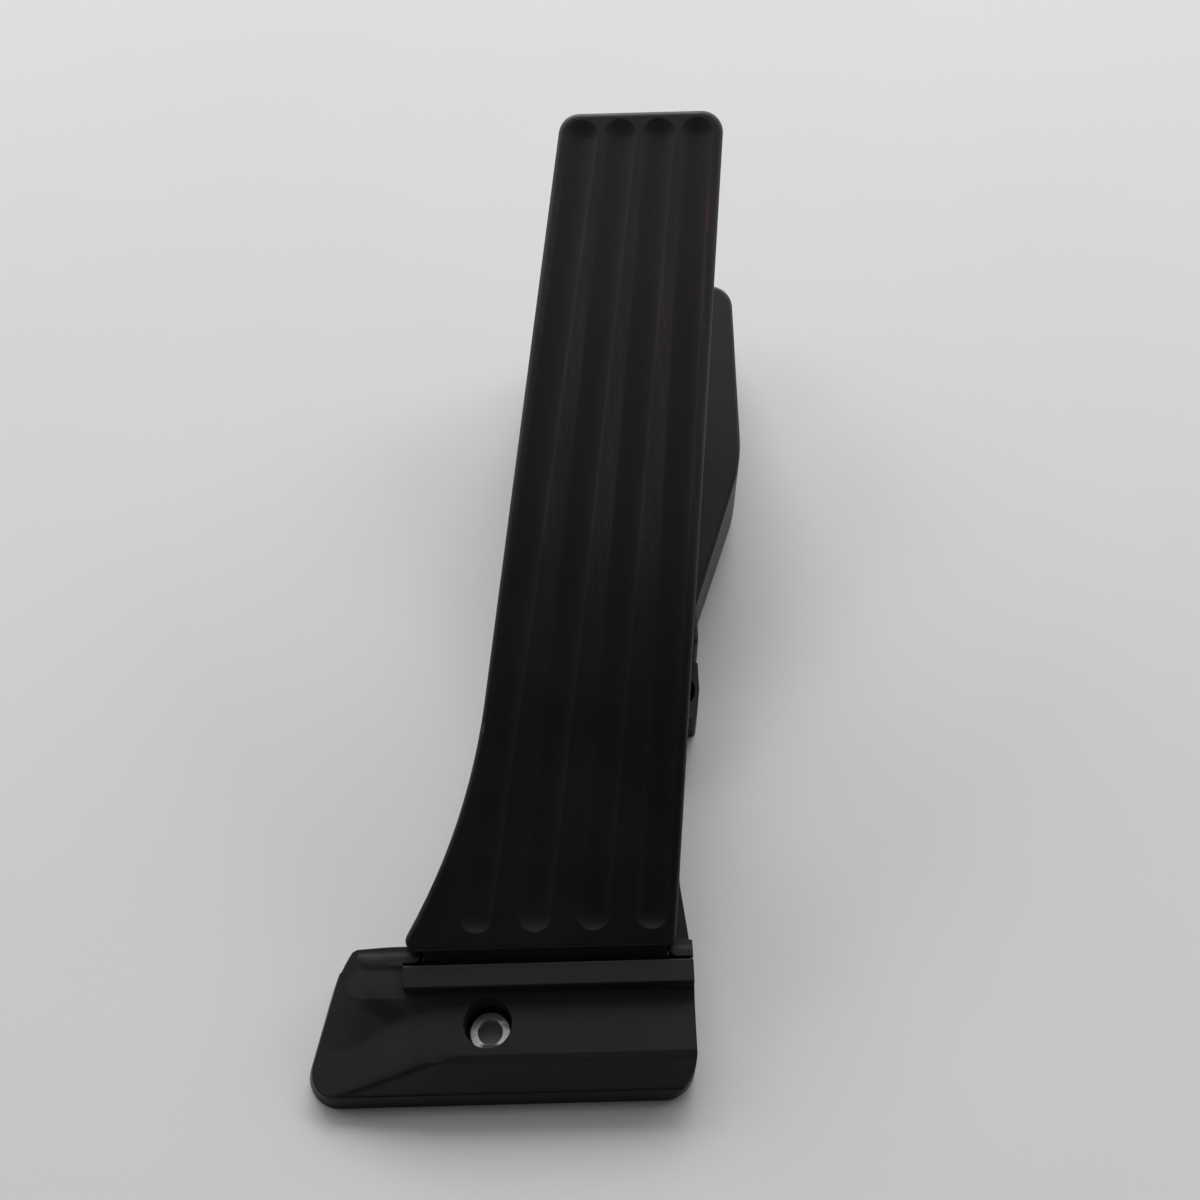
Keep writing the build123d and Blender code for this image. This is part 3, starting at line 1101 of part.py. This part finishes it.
with BuildPart() as circuit_board:
    with BuildSketch(Plane.YZ.offset(BOARD_LEFT)):
        add(cover_side.sketch)
        offset(amount=-BOARD_INSET, kind=Kind.INTERSECTION, mode=Mode.REPLACE)
    extrude(amount=BOARD_THICKNESS)
    for y in BOARD_POST_Y:
        peg = BOARD_PEG + SEAT_GAP
        block(BOARD_LEFT, BOARD_RIGHT, y - peg, y + peg, POST_Z - peg, POST_Z + peg, Mode.SUBTRACT)
    for i, z in TERMINALS:
        bend = BOARD_END - (i + 1) * PIN_BEND_PITCH
        leg_low, leg_high = bend - SEAT_GAP, bend + PIN_SIZE + SEAT_GAP
        block(BOARD_LEFT, BOARD_RIGHT, leg_low, leg_high, z - pin_hole, z + pin_hole, Mode.SUBTRACT)
circuit_board.part.label = "circuit_board"
export_step(circuit_board.part, "parts/circuit_board.step")

with BuildPart() as hall_sensors:
    for edge in (-1, 1):
        y = PIVOT_Y + edge * (CHIP_LENGTH / 2 + MOVING_GAP)
        low, high = PIVOT_Z - CHIP_WIDTH / 2, PIVOT_Z + CHIP_WIDTH / 2
        block(BOARD_LEFT - CHIP_HEIGHT, BOARD_LEFT, y - CHIP_LENGTH / 2, y + CHIP_LENGTH / 2, low, high)
hall_sensors.part.label = "hall_sensors"
export_step(hall_sensors.part, "parts/hall_sensors.step")

with BuildPart() as terminals:
    half = PIN_SIZE / 2
    for i, z in TERMINALS:
        x = SOCKET_X + (i - 1) * PIN_PITCH_X
        bend = BOARD_END - (i + 1) * PIN_BEND_PITCH
        block(x - half, x + half, bend, SOCKET_FLOOR + PIN_REACH, z - half, z + half)
        block(BOARD_LEFT, x + half, bend, bend + PIN_SIZE, z - half, z + half)
terminals.part.label = "terminals"
export_step(terminals.part, "parts/terminals.step")
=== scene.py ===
import json
import math

import bpy
from mathutils import Matrix, Vector


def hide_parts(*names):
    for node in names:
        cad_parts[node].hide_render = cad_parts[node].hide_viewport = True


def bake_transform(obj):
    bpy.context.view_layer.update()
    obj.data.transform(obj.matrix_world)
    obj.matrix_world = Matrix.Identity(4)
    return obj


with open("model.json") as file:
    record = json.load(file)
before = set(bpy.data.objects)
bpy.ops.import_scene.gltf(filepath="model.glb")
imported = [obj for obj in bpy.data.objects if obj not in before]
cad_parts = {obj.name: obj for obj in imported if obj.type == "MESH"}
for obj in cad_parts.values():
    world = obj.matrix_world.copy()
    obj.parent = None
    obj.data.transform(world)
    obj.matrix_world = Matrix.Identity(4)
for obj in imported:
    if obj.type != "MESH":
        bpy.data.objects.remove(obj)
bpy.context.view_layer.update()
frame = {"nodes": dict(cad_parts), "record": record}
nodes = frame["nodes"]
scene = bpy.context.scene

# Lengths are in metres, from the axis of the lower fixing hole on the mounting plane
MM = 0.001
X_AXIS = Vector((1, 0, 0))
Y_AXIS = Vector((0, 1, 0))
Z_AXIS = Vector((0, 0, 1))

# The pad's own directions at rest, along it and out of its front
HINGE = Vector((0, 16.8, 14.0)) * MM
PAD_ANGLE = math.radians(28)
PAD_ALONG = Vector((0, math.cos(PAD_ANGLE), math.sin(PAD_ANGLE)))
PAD_OUT = Vector((0, -math.sin(PAD_ANGLE), math.cos(PAD_ANGLE)))

# Painted shade about the hinge and on the front of the lower collar: the distances from the hinge axis
# between which it thins out, its shares and its colours
SHADE_NEAR = 0.0044
SHADE_FAR = 0.0056
HINGE_SHADE_SHARE = 0.5
HINGE_SHADE = (0.0015, 0.0015, 0.0016)
COLLAR_SHADE_SHARE = 0.92
COLLAR_SHADE = (0.02, 0.02, 0.02)

# Plastics: gloss, softened edges, the usual range of a noise, and the bump of the fine grain
PLASTIC_SPECULAR = 0.25
EDGE_RADIUS = 0.0006
PAD_EDGE_RADIUS = 0.0004
NOISE_LOW = 0.3
NOISE_HIGH = 0.7
GRAIN_DEPTH = 0.00006
GRAIN_STRENGTH = 0.35

# The foot's left end: its normal, rounder edges, the heights where it ends, a dip by the bar, and its
# painted light; then the bar's top, painted darker as shade
FAIR_NORMAL = Vector((0, -0.06, 1)).normalized()
END_EDGE_RADIUS = 0.0040
BELOW_TOP = (0.0176, 0.0184)
DIP_ACROSS = Vector((0.504, 0.864, 0))
DIP_ALONG = Vector((0.864, -0.504, 0))
DIP_ACROSS_OFFSET = 0.0096
DIP_ALONG_OFFSET = 0.0245
# Lighter colour painted on the foot's left end as painted light
LEFT_END_LIGHT = (0.0140, 0.0130, 0.0140)
# Near-black colour painted on the bar's top as painted shade
BAR_TOP_SHADE = (0.0012, 0.0011, 0.0013)

# Torsion springs about the lever's shaft, with distances from the middle of the lever
PIVOT = Vector((34.0, 110.0, 13.5)) * MM
COIL_RADIUS = 7.9 * MM
COIL_TURNS = 2.25
COIL_PITCH = 2.0 * MM
COIL_STEPS = 90
WIRE_RADIUS = 0.9 * MM
WIRE_RESOLUTION = 3
LEVER_END_ANGLE = math.radians(55.66)
TANG = 2.3 * MM
LEVER_SIDE = 4.0 * MM
COIL_MIDDLE = 7.5 * MM
HOUSING_WALL = 11.0 * MM

# Paper floor, far larger than the view and just under the part
FLOOR_SIZE = 8.0
FLOOR_HEIGHT = -0.0002
PAPER = (0.67, 0.672, 0.672)
PAPER_DARK = (0.66, 0.662, 0.662)
PAPER_LIGHT = (0.68, 0.682, 0.682)

# Light: where the lamps point, the world's even light and its backdrop, which fades between two heights
LAMP_TARGET = Vector((0.02, 0.10, 0.02))
FILL = 0.06
BACKDROP = 0.5
BACKDROP_FULL = 0.05
BACKDROP_END = 0.30

# Camera where the photo was taken from
CAMERA_PLACE = Vector((31.08, -97.15, 393.90)) * MM
CAMERA_ELEVATION = math.radians(60)
CAMERA_ROLL = math.radians(1.5)
CAMERA_SENSOR = 36
CAMERA_LENS = 45
CAMERA_NEAR = 0.01

# Places of the two values and of the result among a mix node's sockets, by the kind of value
MIX_SOCKETS = {"FLOAT": (2, 3, 0), "VECTOR": (4, 5, 1), "RGBA": (6, 7, 2)}


class Nodes:
    """A node tree, with short calls for the nodes used here."""

    def __init__(self, tree):
        self.tree = tree

    def put(self, socket, value):
        """Link an output to a socket, or set the socket to a plain value."""
        if hasattr(value, "is_output"):
            self.tree.links.new(value, socket)
        elif socket.type == "RGBA":
            socket.default_value = (*value, 1)
        else:
            socket.default_value = value

    def add(self, kind, inputs={}, **settings):
        """New node of a kind, with its settings and with inputs by name or place."""
        node = self.tree.nodes.new(kind)
        for key, value in settings.items():
            setattr(node, key, value)
        for key, value in inputs.items():
            self.put(node.inputs[key], value)
        return node

    def math(self, operation, first, second=0.0):
        return self.add("ShaderNodeMath", {0: first, 1: second}, operation=operation).outputs[0]

    def product(self, first, *rest):
        for value in rest:
            first = self.math("MULTIPLY", first, value)
        return first

    def ramp(self, value, low, high, out_low=0.0, out_high=1.0):
        """Smooth step from out_low, where the value is low, to out_high, where it is high."""
        inputs = {"Value": value, "From Min": low, "From Max": high, "To Min": out_low, "To Max": out_high}
        return self.add("ShaderNodeMapRange", inputs, interpolation_type="SMOOTHSTEP").outputs["Result"]

    def fall(self, value, low, high, top=1.0):
        """Smooth step down from top to 0."""
        return self.ramp(value, low, high, top, 0.0)

    def band(self, value, rise, fall):
        """1 between a rise and a fall, each given by its two limits, and 0 beyond them."""
        return self.product(self.ramp(value, *rise), self.fall(value, *fall))

    def between(self, kind, share, first, second):
        """Value of a kind from the first to the second, by a share from 0 to 1."""
        first_at, second_at, result_at = MIX_SOCKETS[kind]
        inputs = {"Factor": share, first_at: first, second_at: second}
        return self.add("ShaderNodeMix", inputs, data_type=kind).outputs[result_at]


class Shader(Nodes):
    """A material's nodes, with calls for its texture and its surface."""

    def __init__(self, name, color, roughness, metallic=0.0, specular=0.3):
        self.name = name
        self.material = bpy.data.materials.new(name)
        self.material.use_nodes = True
        super().__init__(self.material.node_tree)
        self.bsdf = self.tree.nodes["Principled BSDF"]
        self.color(color)
        self.roughness(roughness)
        self.put(self.bsdf.inputs["Metallic"], metallic)
        self.put(self.bsdf.inputs["Specular IOR Level"], specular)
        self.where = self.add("ShaderNodeTexCoord").outputs["Object"]

    def noise(self, scale, detail=3.0, rough=0.6, where=None):
        inputs = {"Vector": where or self.where, "Scale": scale, "Detail": detail, "Roughness": rough}
        return self.add("ShaderNodeTexNoise", inputs).outputs["Fac"]

    def spread(self, noise, low, high):
        """A noise's usual range, spread from low to high."""
        return self.ramp(noise, NOISE_LOW, NOISE_HIGH, low, high)

    def along(self, direction, origin=Vector()):
        """Distance from origin along a direction, in metres."""
        node = self.add("ShaderNodeVectorMath", {0: self.where, 1: direction}, operation="DOT_PRODUCT")
        return self.math("SUBTRACT", node.outputs["Value"], origin.dot(direction))

    def vector(self, x, y, z):
        return self.add("ShaderNodeCombineXYZ", {0: x, 1: y, 2: z}).outputs[0]

    def mix(self, share, first, second):
        """Colour from the first to the second, by a share from 0 to 1."""
        return self.between("RGBA", share, first, second)

    def color(self, value):
        self.put(self.bsdf.inputs["Base Color"], value)

    def roughness(self, value):
        self.put(self.bsdf.inputs["Roughness"], value)

    def hinge_shade(self, value):
        """Colour darkened about the hinge axis: painted shade in the recess about the hinge."""
        y = self.along(Y_AXIS, HINGE)
        z = self.along(Z_AXIS, HINGE)
        away = self.math("SQRT", self.math("ADD", self.product(y, y), self.product(z, z)))
        return self.mix(self.fall(away, SHADE_NEAR, SHADE_FAR, HINGE_SHADE_SHARE), value, HINGE_SHADE)

    def softened(self, radius):
        """Normal with edges softened to a radius in metres."""
        return self.add("ShaderNodeBevel", {"Radius": radius}, samples=8).outputs["Normal"]

    def turned_up(self, normal, share):
        """Normal turned towards FAIR_NORMAL by a share from 0 to 1."""
        turned = self.between("VECTOR", share, normal, FAIR_NORMAL)
        return self.add("ShaderNodeVectorMath", {0: turned}, operation="NORMALIZE").outputs["Vector"]

    def bump(self, *layers, normal=None):
        """Bump layers, each (height, depth in metres, strength), over a normal."""
        for height, depth, strength in layers:
            inputs = {"Strength": strength, "Distance": depth, "Height": height}
            if normal is not None:
                inputs["Normal"] = normal
            normal = self.add("ShaderNodeBump", inputs).outputs["Normal"]
        self.put(self.bsdf.inputs["Normal"], normal)


def moulded_skin(s, color, dust, roughness):
    """Uneven gloss on a moulding; gives its cloudy, dusty colour and its bump layers."""
    cloud = s.noise(35.0, detail=4.0)
    fine = s.noise(2600.0, detail=2.0, rough=0.5)
    speck = s.ramp(s.noise(900.0, detail=2.0, rough=0.7), 0.64, 0.74, out_high=0.35)
    base = s.mix(s.ramp(cloud, 0.35, NOISE_HIGH, out_high=0.5), color, dust)
    base = s.mix(speck, base, dust)
    s.roughness(s.spread(cloud, roughness - 0.05, roughness + 0.08))
    return base, ((cloud, 0.0004, 0.12), (fine, GRAIN_DEPTH, GRAIN_STRENGTH))


def moulded(name, color, dust, roughness):
    """Moulded plastic: fine grain, faint cloudy colour and a little dust."""
    s = Shader(name, color, roughness, specular=PLASTIC_SPECULAR)
    base, layers = moulded_skin(s, color, dust, roughness)
    s.color(base)
    s.bump(*layers, normal=s.softened(EDGE_RADIUS))
    return s


def foot_normal(s, x, z):
    """Normal by which the foot's left end runs into the platform as one fair face, with a shallow dip."""
    end_x = (-0.030, -0.022)
    flank_x, flank_z = (-0.022, -0.008), (0.0140, 0.0155)
    fair_x, above_base = (-0.024, -0.006), (0.0042, 0.0050)
    upright, frontal = (0.10, 0.35), (-0.78, -0.66)

    across_dip = s.math("ABSOLUTE", s.math("ADD", s.along(DIP_ACROSS), DIP_ACROSS_OFFSET))
    along_dip = s.math("ABSOLUTE", s.math("ADD", s.along(DIP_ALONG), DIP_ALONG_OFFSET))
    dip = s.product(s.fall(across_dip, 0.0005, 0.0035, top=0.30), s.fall(along_dip, 0.003, 0.008))

    # Edges are rounder at the very end, and on the flank below the platform
    flank = s.product(s.fall(x, *flank_x), s.fall(z, *flank_z))
    end_radius = s.ramp(x, *end_x, END_EDGE_RADIUS, EDGE_RADIUS)
    flank_radius = s.ramp(flank, 0.0, 1.0, EDGE_RADIUS, END_EDGE_RADIUS)
    soft = s.softened(s.math("MAXIMUM", end_radius, flank_radius))

    # Upright faces, and those that look to the front, keep their own normal
    facing = s.add("ShaderNodeSeparateXYZ", {0: soft})
    fair = s.product(
        s.ramp(x, *fair_x, 1.0, 0.85),
        s.band(z, above_base, BELOW_TOP),
        s.ramp(facing.outputs["Z"], *upright),
        s.ramp(facing.outputs["Y"], *frontal),
        s.math("SUBTRACT", 1.0, dip),
    )
    return s.turned_up(soft, fair)


def carrier_plastic():
    """The carrier's plastic: painted shade about the hinge and on the bar's top, and at the foot's left
    end a fair normal and a lighter colour painted in as light.
    """
    color, dust, roughness = (0.0085, 0.0078, 0.0088), (0.0125, 0.0115, 0.0121), 0.46
    left_x = (-0.030, -0.006)
    bar_x, bar_y, bar_z = (-0.0240, -0.0215), (0.0140, 0.0146), (0.0172, 0.0180)
    s = Shader("black_plastic", color, roughness, specular=PLASTIC_SPECULAR)
    x = s.along(X_AXIS)
    y = s.along(Y_AXIS)
    z = s.along(Z_AXIS)
    base, layers = moulded_skin(s, color, dust, roughness)
    # Painted light: the foot's left end is painted lighter, up to the platform's top
    base = s.mix(s.product(s.fall(x, *left_x), s.fall(z, *BELOW_TOP)), base, LEFT_END_LIGHT)
    # Painted shade: the bar's top is painted near black
    bar = s.product(s.ramp(z, *bar_z), s.fall(y, *bar_y), s.ramp(x, *bar_x))
    base = s.mix(bar, base, BAR_TOP_SHADE)
    # Painted shade about the hinge, darkening the colour in the recess
    s.color(s.hinge_shade(base))
    s.bump(*layers, normal=foot_normal(s, x, z))
    return s


def pad_wear(s, up, across):
    """Share of wear on the middle of the pad: long streaks, broken up by finer specks."""
    worn_from, worn_to = (0.06, 0.17), (0.185, 0.215)
    streak_at = s.vector(s.product(across, 300.0), s.product(up, 14.0), 0.0)
    streak = s.ramp(s.noise(1.0, detail=5.0, rough=0.65, where=streak_at), 0.40, 0.66, out_low=0.35)
    speck = s.ramp(s.noise(1100.0, detail=2.0, rough=0.7), 0.42, 0.68, out_low=0.55)
    return s.product(streak, s.band(up, worn_from, worn_to), speck)


def pad_rub(s, up, across):
    """Share of the rubbed, rusty-looking line along the pad's upper right border."""
    border_lean = -0.0869
    line_from, line_to = (0.0420, 0.0430), (0.0446, 0.0456)
    patch_from, patch_to = (0.152, 0.162), (0.190, 0.199)
    border = s.math("ADD", across, s.product(up, border_lean))
    rub_at = s.vector(s.product(across, 500.0), s.product(up, 60.0), 3.0)
    rub = s.ramp(s.noise(1.0, detail=4.0, where=rub_at), 0.38, 0.56)
    return s.product(s.band(border, line_from, line_to), s.band(up, patch_from, patch_to), rub)


def pad_plastic():
    """The pad's plastic: painted lighter towards its top as painted light, worn brownish on the ridges
    between the grooves.
    """
    bare, lit_top, cloudy = (0.0072, 0.0066, 0.0082), (0.0480, 0.0430, 0.0500), (0.0190, 0.0167, 0.0172)
    worn, rusty = (0.0720, 0.0610, 0.0545), (0.090, 0.052, 0.034)
    lit_along, ridge_out = (0.04, 0.22), (0.00575, 0.00615)
    s = Shader("pad_plastic", (0.010, 0.0095, 0.010), 0.5, specular=PLASTIC_SPECULAR)
    up = s.along(PAD_ALONG, HINGE)
    across = s.along(X_AXIS)
    ridge = s.ramp(s.along(PAD_OUT, HINGE), *ridge_out)
    cloud = s.noise(28.0, detail=4.0)
    fine = s.noise(2400.0, detail=2.0, rough=0.5)
    # Painted light: the pad is painted lighter towards its top
    base = s.mix(s.ramp(up, *lit_along), bare, lit_top)
    base = s.mix(s.spread(cloud, 0.0, 0.4), base, cloudy)
    base = s.mix(s.product(pad_wear(s, up, across), ridge), base, worn)
    base = s.mix(s.product(pad_rub(s, up, across), ridge), base, rusty)
    # Painted shade about the hinge, darkening the pad's lower end
    s.color(s.hinge_shade(base))
    s.roughness(s.spread(cloud, 0.44, 0.56))
    s.bump((cloud, 0.0003, 0.10), (fine, GRAIN_DEPTH, GRAIN_STRENGTH), normal=s.softened(PAD_EDGE_RADIUS))
    return s


def shaded(color, share):
    """A share of a colour."""
    return tuple(channel * share for channel in color)


def metal(name, color, roughness):
    """Metal with fine drawn lines and uneven polish."""
    s = Shader(name, color, roughness, metallic=1.0)
    lines_at = s.vector(s.product(s.along(X_AXIS), 0.08), s.along(Y_AXIS), s.along(Z_AXIS))
    lines = s.noise(900.0, where=lines_at)
    cloud = s.noise(220.0)
    s.color(s.mix(s.spread(cloud, 0.0, 0.35), color, shaded(color, 0.7)))
    s.roughness(s.spread(lines, roughness - 0.06, roughness + 0.1))
    s.bump((lines, 0.00003, 0.25))
    return s


def collar_steel():
    """Bright zinc, with painted shade on the front of the lower collar."""
    front_y, front_x = (-0.0034, -0.0026), (0.0016, 0.0030)
    s = metal("zinc_steel", (0.93, 0.90, 0.86), 0.40)
    bare = s.bsdf.inputs["Base Color"].links[0].from_socket
    aside = s.math("ABSOLUTE", s.along(X_AXIS))
    front = s.product(s.fall(s.along(Y_AXIS), *front_y), s.fall(aside, *front_x))
    # Painted shade darkens the front of the lower collar
    s.color(s.mix(s.product(front, COLLAR_SHADE_SHARE), bare, COLLAR_SHADE))
    return s


def plain(name, color, roughness, grain=1500.0, depth=0.00005, strength=0.3):
    """Material with a fine grain and a faintly cloudy colour."""
    s = Shader(name, color, roughness)
    fine = s.noise(grain, detail=2.0, rough=0.5)
    cloud = s.noise(60.0)
    s.color(s.mix(s.spread(cloud, 0.0, 0.4), color, shaded(color, 0.75)))
    s.roughness(s.spread(cloud, roughness - 0.05, roughness + 0.06))
    s.bump((fine, depth, strength))
    return s


# Each of these has the name of its slot
shaders = [
    pad_plastic(),
    carrier_plastic(),
    moulded("cover_plastic", (0.0060, 0.0072, 0.0098), (0.0085, 0.0100, 0.0125), 0.44),
    moulded("lever_plastic", (0.020, 0.020, 0.021), (0.032, 0.032, 0.032), 0.5),
    collar_steel(),
    metal("ground_steel", (0.55, 0.55, 0.56), 0.28),
    metal("spring_steel", (0.30, 0.30, 0.31), 0.36),
    metal("bronze", (0.45, 0.30, 0.14), 0.45),
    metal("magnet", (0.42, 0.42, 0.43), 0.25),
    metal("tin", (0.60, 0.56, 0.45), 0.30),
    plain("roller_plastic", (0.70, 0.69, 0.65), 0.35),
    plain("board", (0.02, 0.15, 0.06), 0.35),
    plain("chip", (0.02, 0.02, 0.02), 0.5),
    plain("rubber", (0.018, 0.018, 0.018), 0.8, grain=900.0, depth=0.0001, strength=0.4),
]
materials = {s.name: s.material for s in shaders}
slots = {p["node"]: p["material_slot"] for p in frame["record"]["subparts"]}
for name, obj in nodes.items():
    obj.data.materials.clear()
    obj.data.materials.append(materials[slots[name]])


def wire_mesh(name, places):
    """Smooth mesh of round wire through places."""
    curve = bpy.data.curves.new(name, "CURVE")
    curve.dimensions = "3D"
    curve.bevel_depth = WIRE_RADIUS
    curve.bevel_resolution = WIRE_RESOLUTION
    curve.use_fill_caps = True
    spline = curve.splines.new("POLY")
    spline.points.add(len(places) - 1)
    for point, place in zip(spline.points, places):
        point.co = (*place, 1)
    obj = bpy.data.objects.new(name, curve)
    scene.collection.objects.link(obj)
    bpy.context.view_layer.update()
    mesh = bpy.data.meshes.new_from_object(obj.evaluated_get(bpy.context.evaluated_depsgraph_get()))
    bpy.data.objects.remove(obj)
    for face in mesh.polygons:
        face.use_smooth = True
    return mesh


def coil(name, side):
    """Round-wire torsion spring beside the lever, its ends bent into lever and housing."""
    near = PIVOT.x + side * LEVER_SIDE
    far = PIVOT.x + side * HOUSING_WALL
    start = PIVOT.x + side * COIL_MIDDLE - side * COIL_TURNS * COIL_PITCH / 2

    # Each step is a place along the shaft and the share of the turns made up to it
    steps = [(near - side * TANG, 0.0)]
    for i in range(COIL_STEPS + 1):
        share = i / COIL_STEPS
        steps.append((start + side * COIL_TURNS * COIL_PITCH * share, share))
    steps.append((far + side * TANG, 1.0))
    places = []
    for x, share in steps:
        turn = LEVER_END_ANGLE + math.radians(360 * COIL_TURNS) * share
        places.append((x, PIVOT.y + COIL_RADIUS * math.cos(turn), PIVOT.z + COIL_RADIUS * math.sin(turn)))

    mesh = wire_mesh(name + "_wire", places)
    mesh.materials.clear()
    mesh.materials.append(materials["spring_steel"])
    solid = bpy.data.objects.new(name + "_round", mesh)
    scene.collection.objects.link(solid)
    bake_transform(solid)
    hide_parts(name)


coil("return_spring_left", -1)
coil("return_spring_right", 1)

# The floor
bpy.ops.mesh.primitive_plane_add(size=FLOOR_SIZE, location=(0, 0, FLOOR_HEIGHT))
floor = bpy.context.object
floor.name = "floor"
paper = Shader("paper", PAPER, 0.85, specular=0.1)
paper.color(paper.mix(paper.spread(paper.noise(3.0, detail=4.0), 0.0, 1.0), PAPER_DARK, PAPER_LIGHT))
paper.bump((paper.noise(500.0), 0.0001, 0.1))
floor.data.materials.append(paper.material)


def lamp(name, place, power, width, height=None):
    """Lamp aimed at the part, square unless a height is given."""
    light = bpy.data.lights.new(name, "AREA")
    light.energy = power
    light.size = width
    if height is not None:
        light.shape = "RECTANGLE"
        light.size_y = height
    obj = bpy.data.objects.new(name, light)
    scene.collection.objects.link(obj)
    obj.location = place
    obj.rotation_euler = (LAMP_TARGET - Vector(place)).to_track_quat("-Z", "Y").to_euler()


lamp("back", (0.1, 3.25, 2.0), power=143.0, width=3.6, height=1.7)
lamp("left", (-1.8, 1.4, 1.0), power=19.0, width=1.4)
lamp("right", (1.8, 1.4, 1.0), power=20.0, width=1.4)
lamp("top", (0.0, 1.0, 1.5), power=5.6, width=1.2)


def studio_world():
    """Faint even light, and a pale backdrop low down, which is seen and mirrored but gives no light."""
    world = bpy.data.worlds.new("studio")
    world.use_nodes = True
    sky = Nodes(world.node_tree)
    view = sky.add("ShaderNodeTexCoord").outputs["Generated"]
    height = sky.add("ShaderNodeSeparateXYZ", {0: view}).outputs["Z"]
    level = sky.ramp(height, BACKDROP_FULL, BACKDROP_END, BACKDROP, FILL)
    path = sky.add("ShaderNodeLightPath")
    seen = path.outputs["Is Camera Ray"]
    for kind in ("Is Glossy Ray", "Is Transmission Ray"):
        seen = sky.math("MAXIMUM", seen, path.outputs[kind])
    background = sky.tree.nodes["Background"]
    sky.put(background.inputs["Color"], (1, 1, 1))
    sky.put(background.inputs["Strength"], sky.between("FLOAT", seen, FILL, level))
    return world


scene.world = studio_world()

# The camera, rolled about the direction in which it looks
ahead = Vector((0, math.cos(CAMERA_ELEVATION), -math.sin(CAMERA_ELEVATION)))
down = ahead.cross(X_AXIS)
cam_right = math.cos(CAMERA_ROLL) * X_AXIS + math.sin(CAMERA_ROLL) * down
cam_down = -math.sin(CAMERA_ROLL) * X_AXIS + math.cos(CAMERA_ROLL) * down
camera = bpy.data.cameras.new("photo")
camera.sensor_width = CAMERA_SENSOR
camera.lens = CAMERA_LENS
camera.clip_start = CAMERA_NEAR
eye = bpy.data.objects.new("photo", camera)
scene.collection.objects.link(eye)
turned = Matrix((cam_right, -cam_down, -ahead)).transposed()
eye.matrix_world = Matrix.Translation(CAMERA_PLACE) @ turned.to_4x4()
scene.camera = eye
scene.view_settings.view_transform = "Standard"
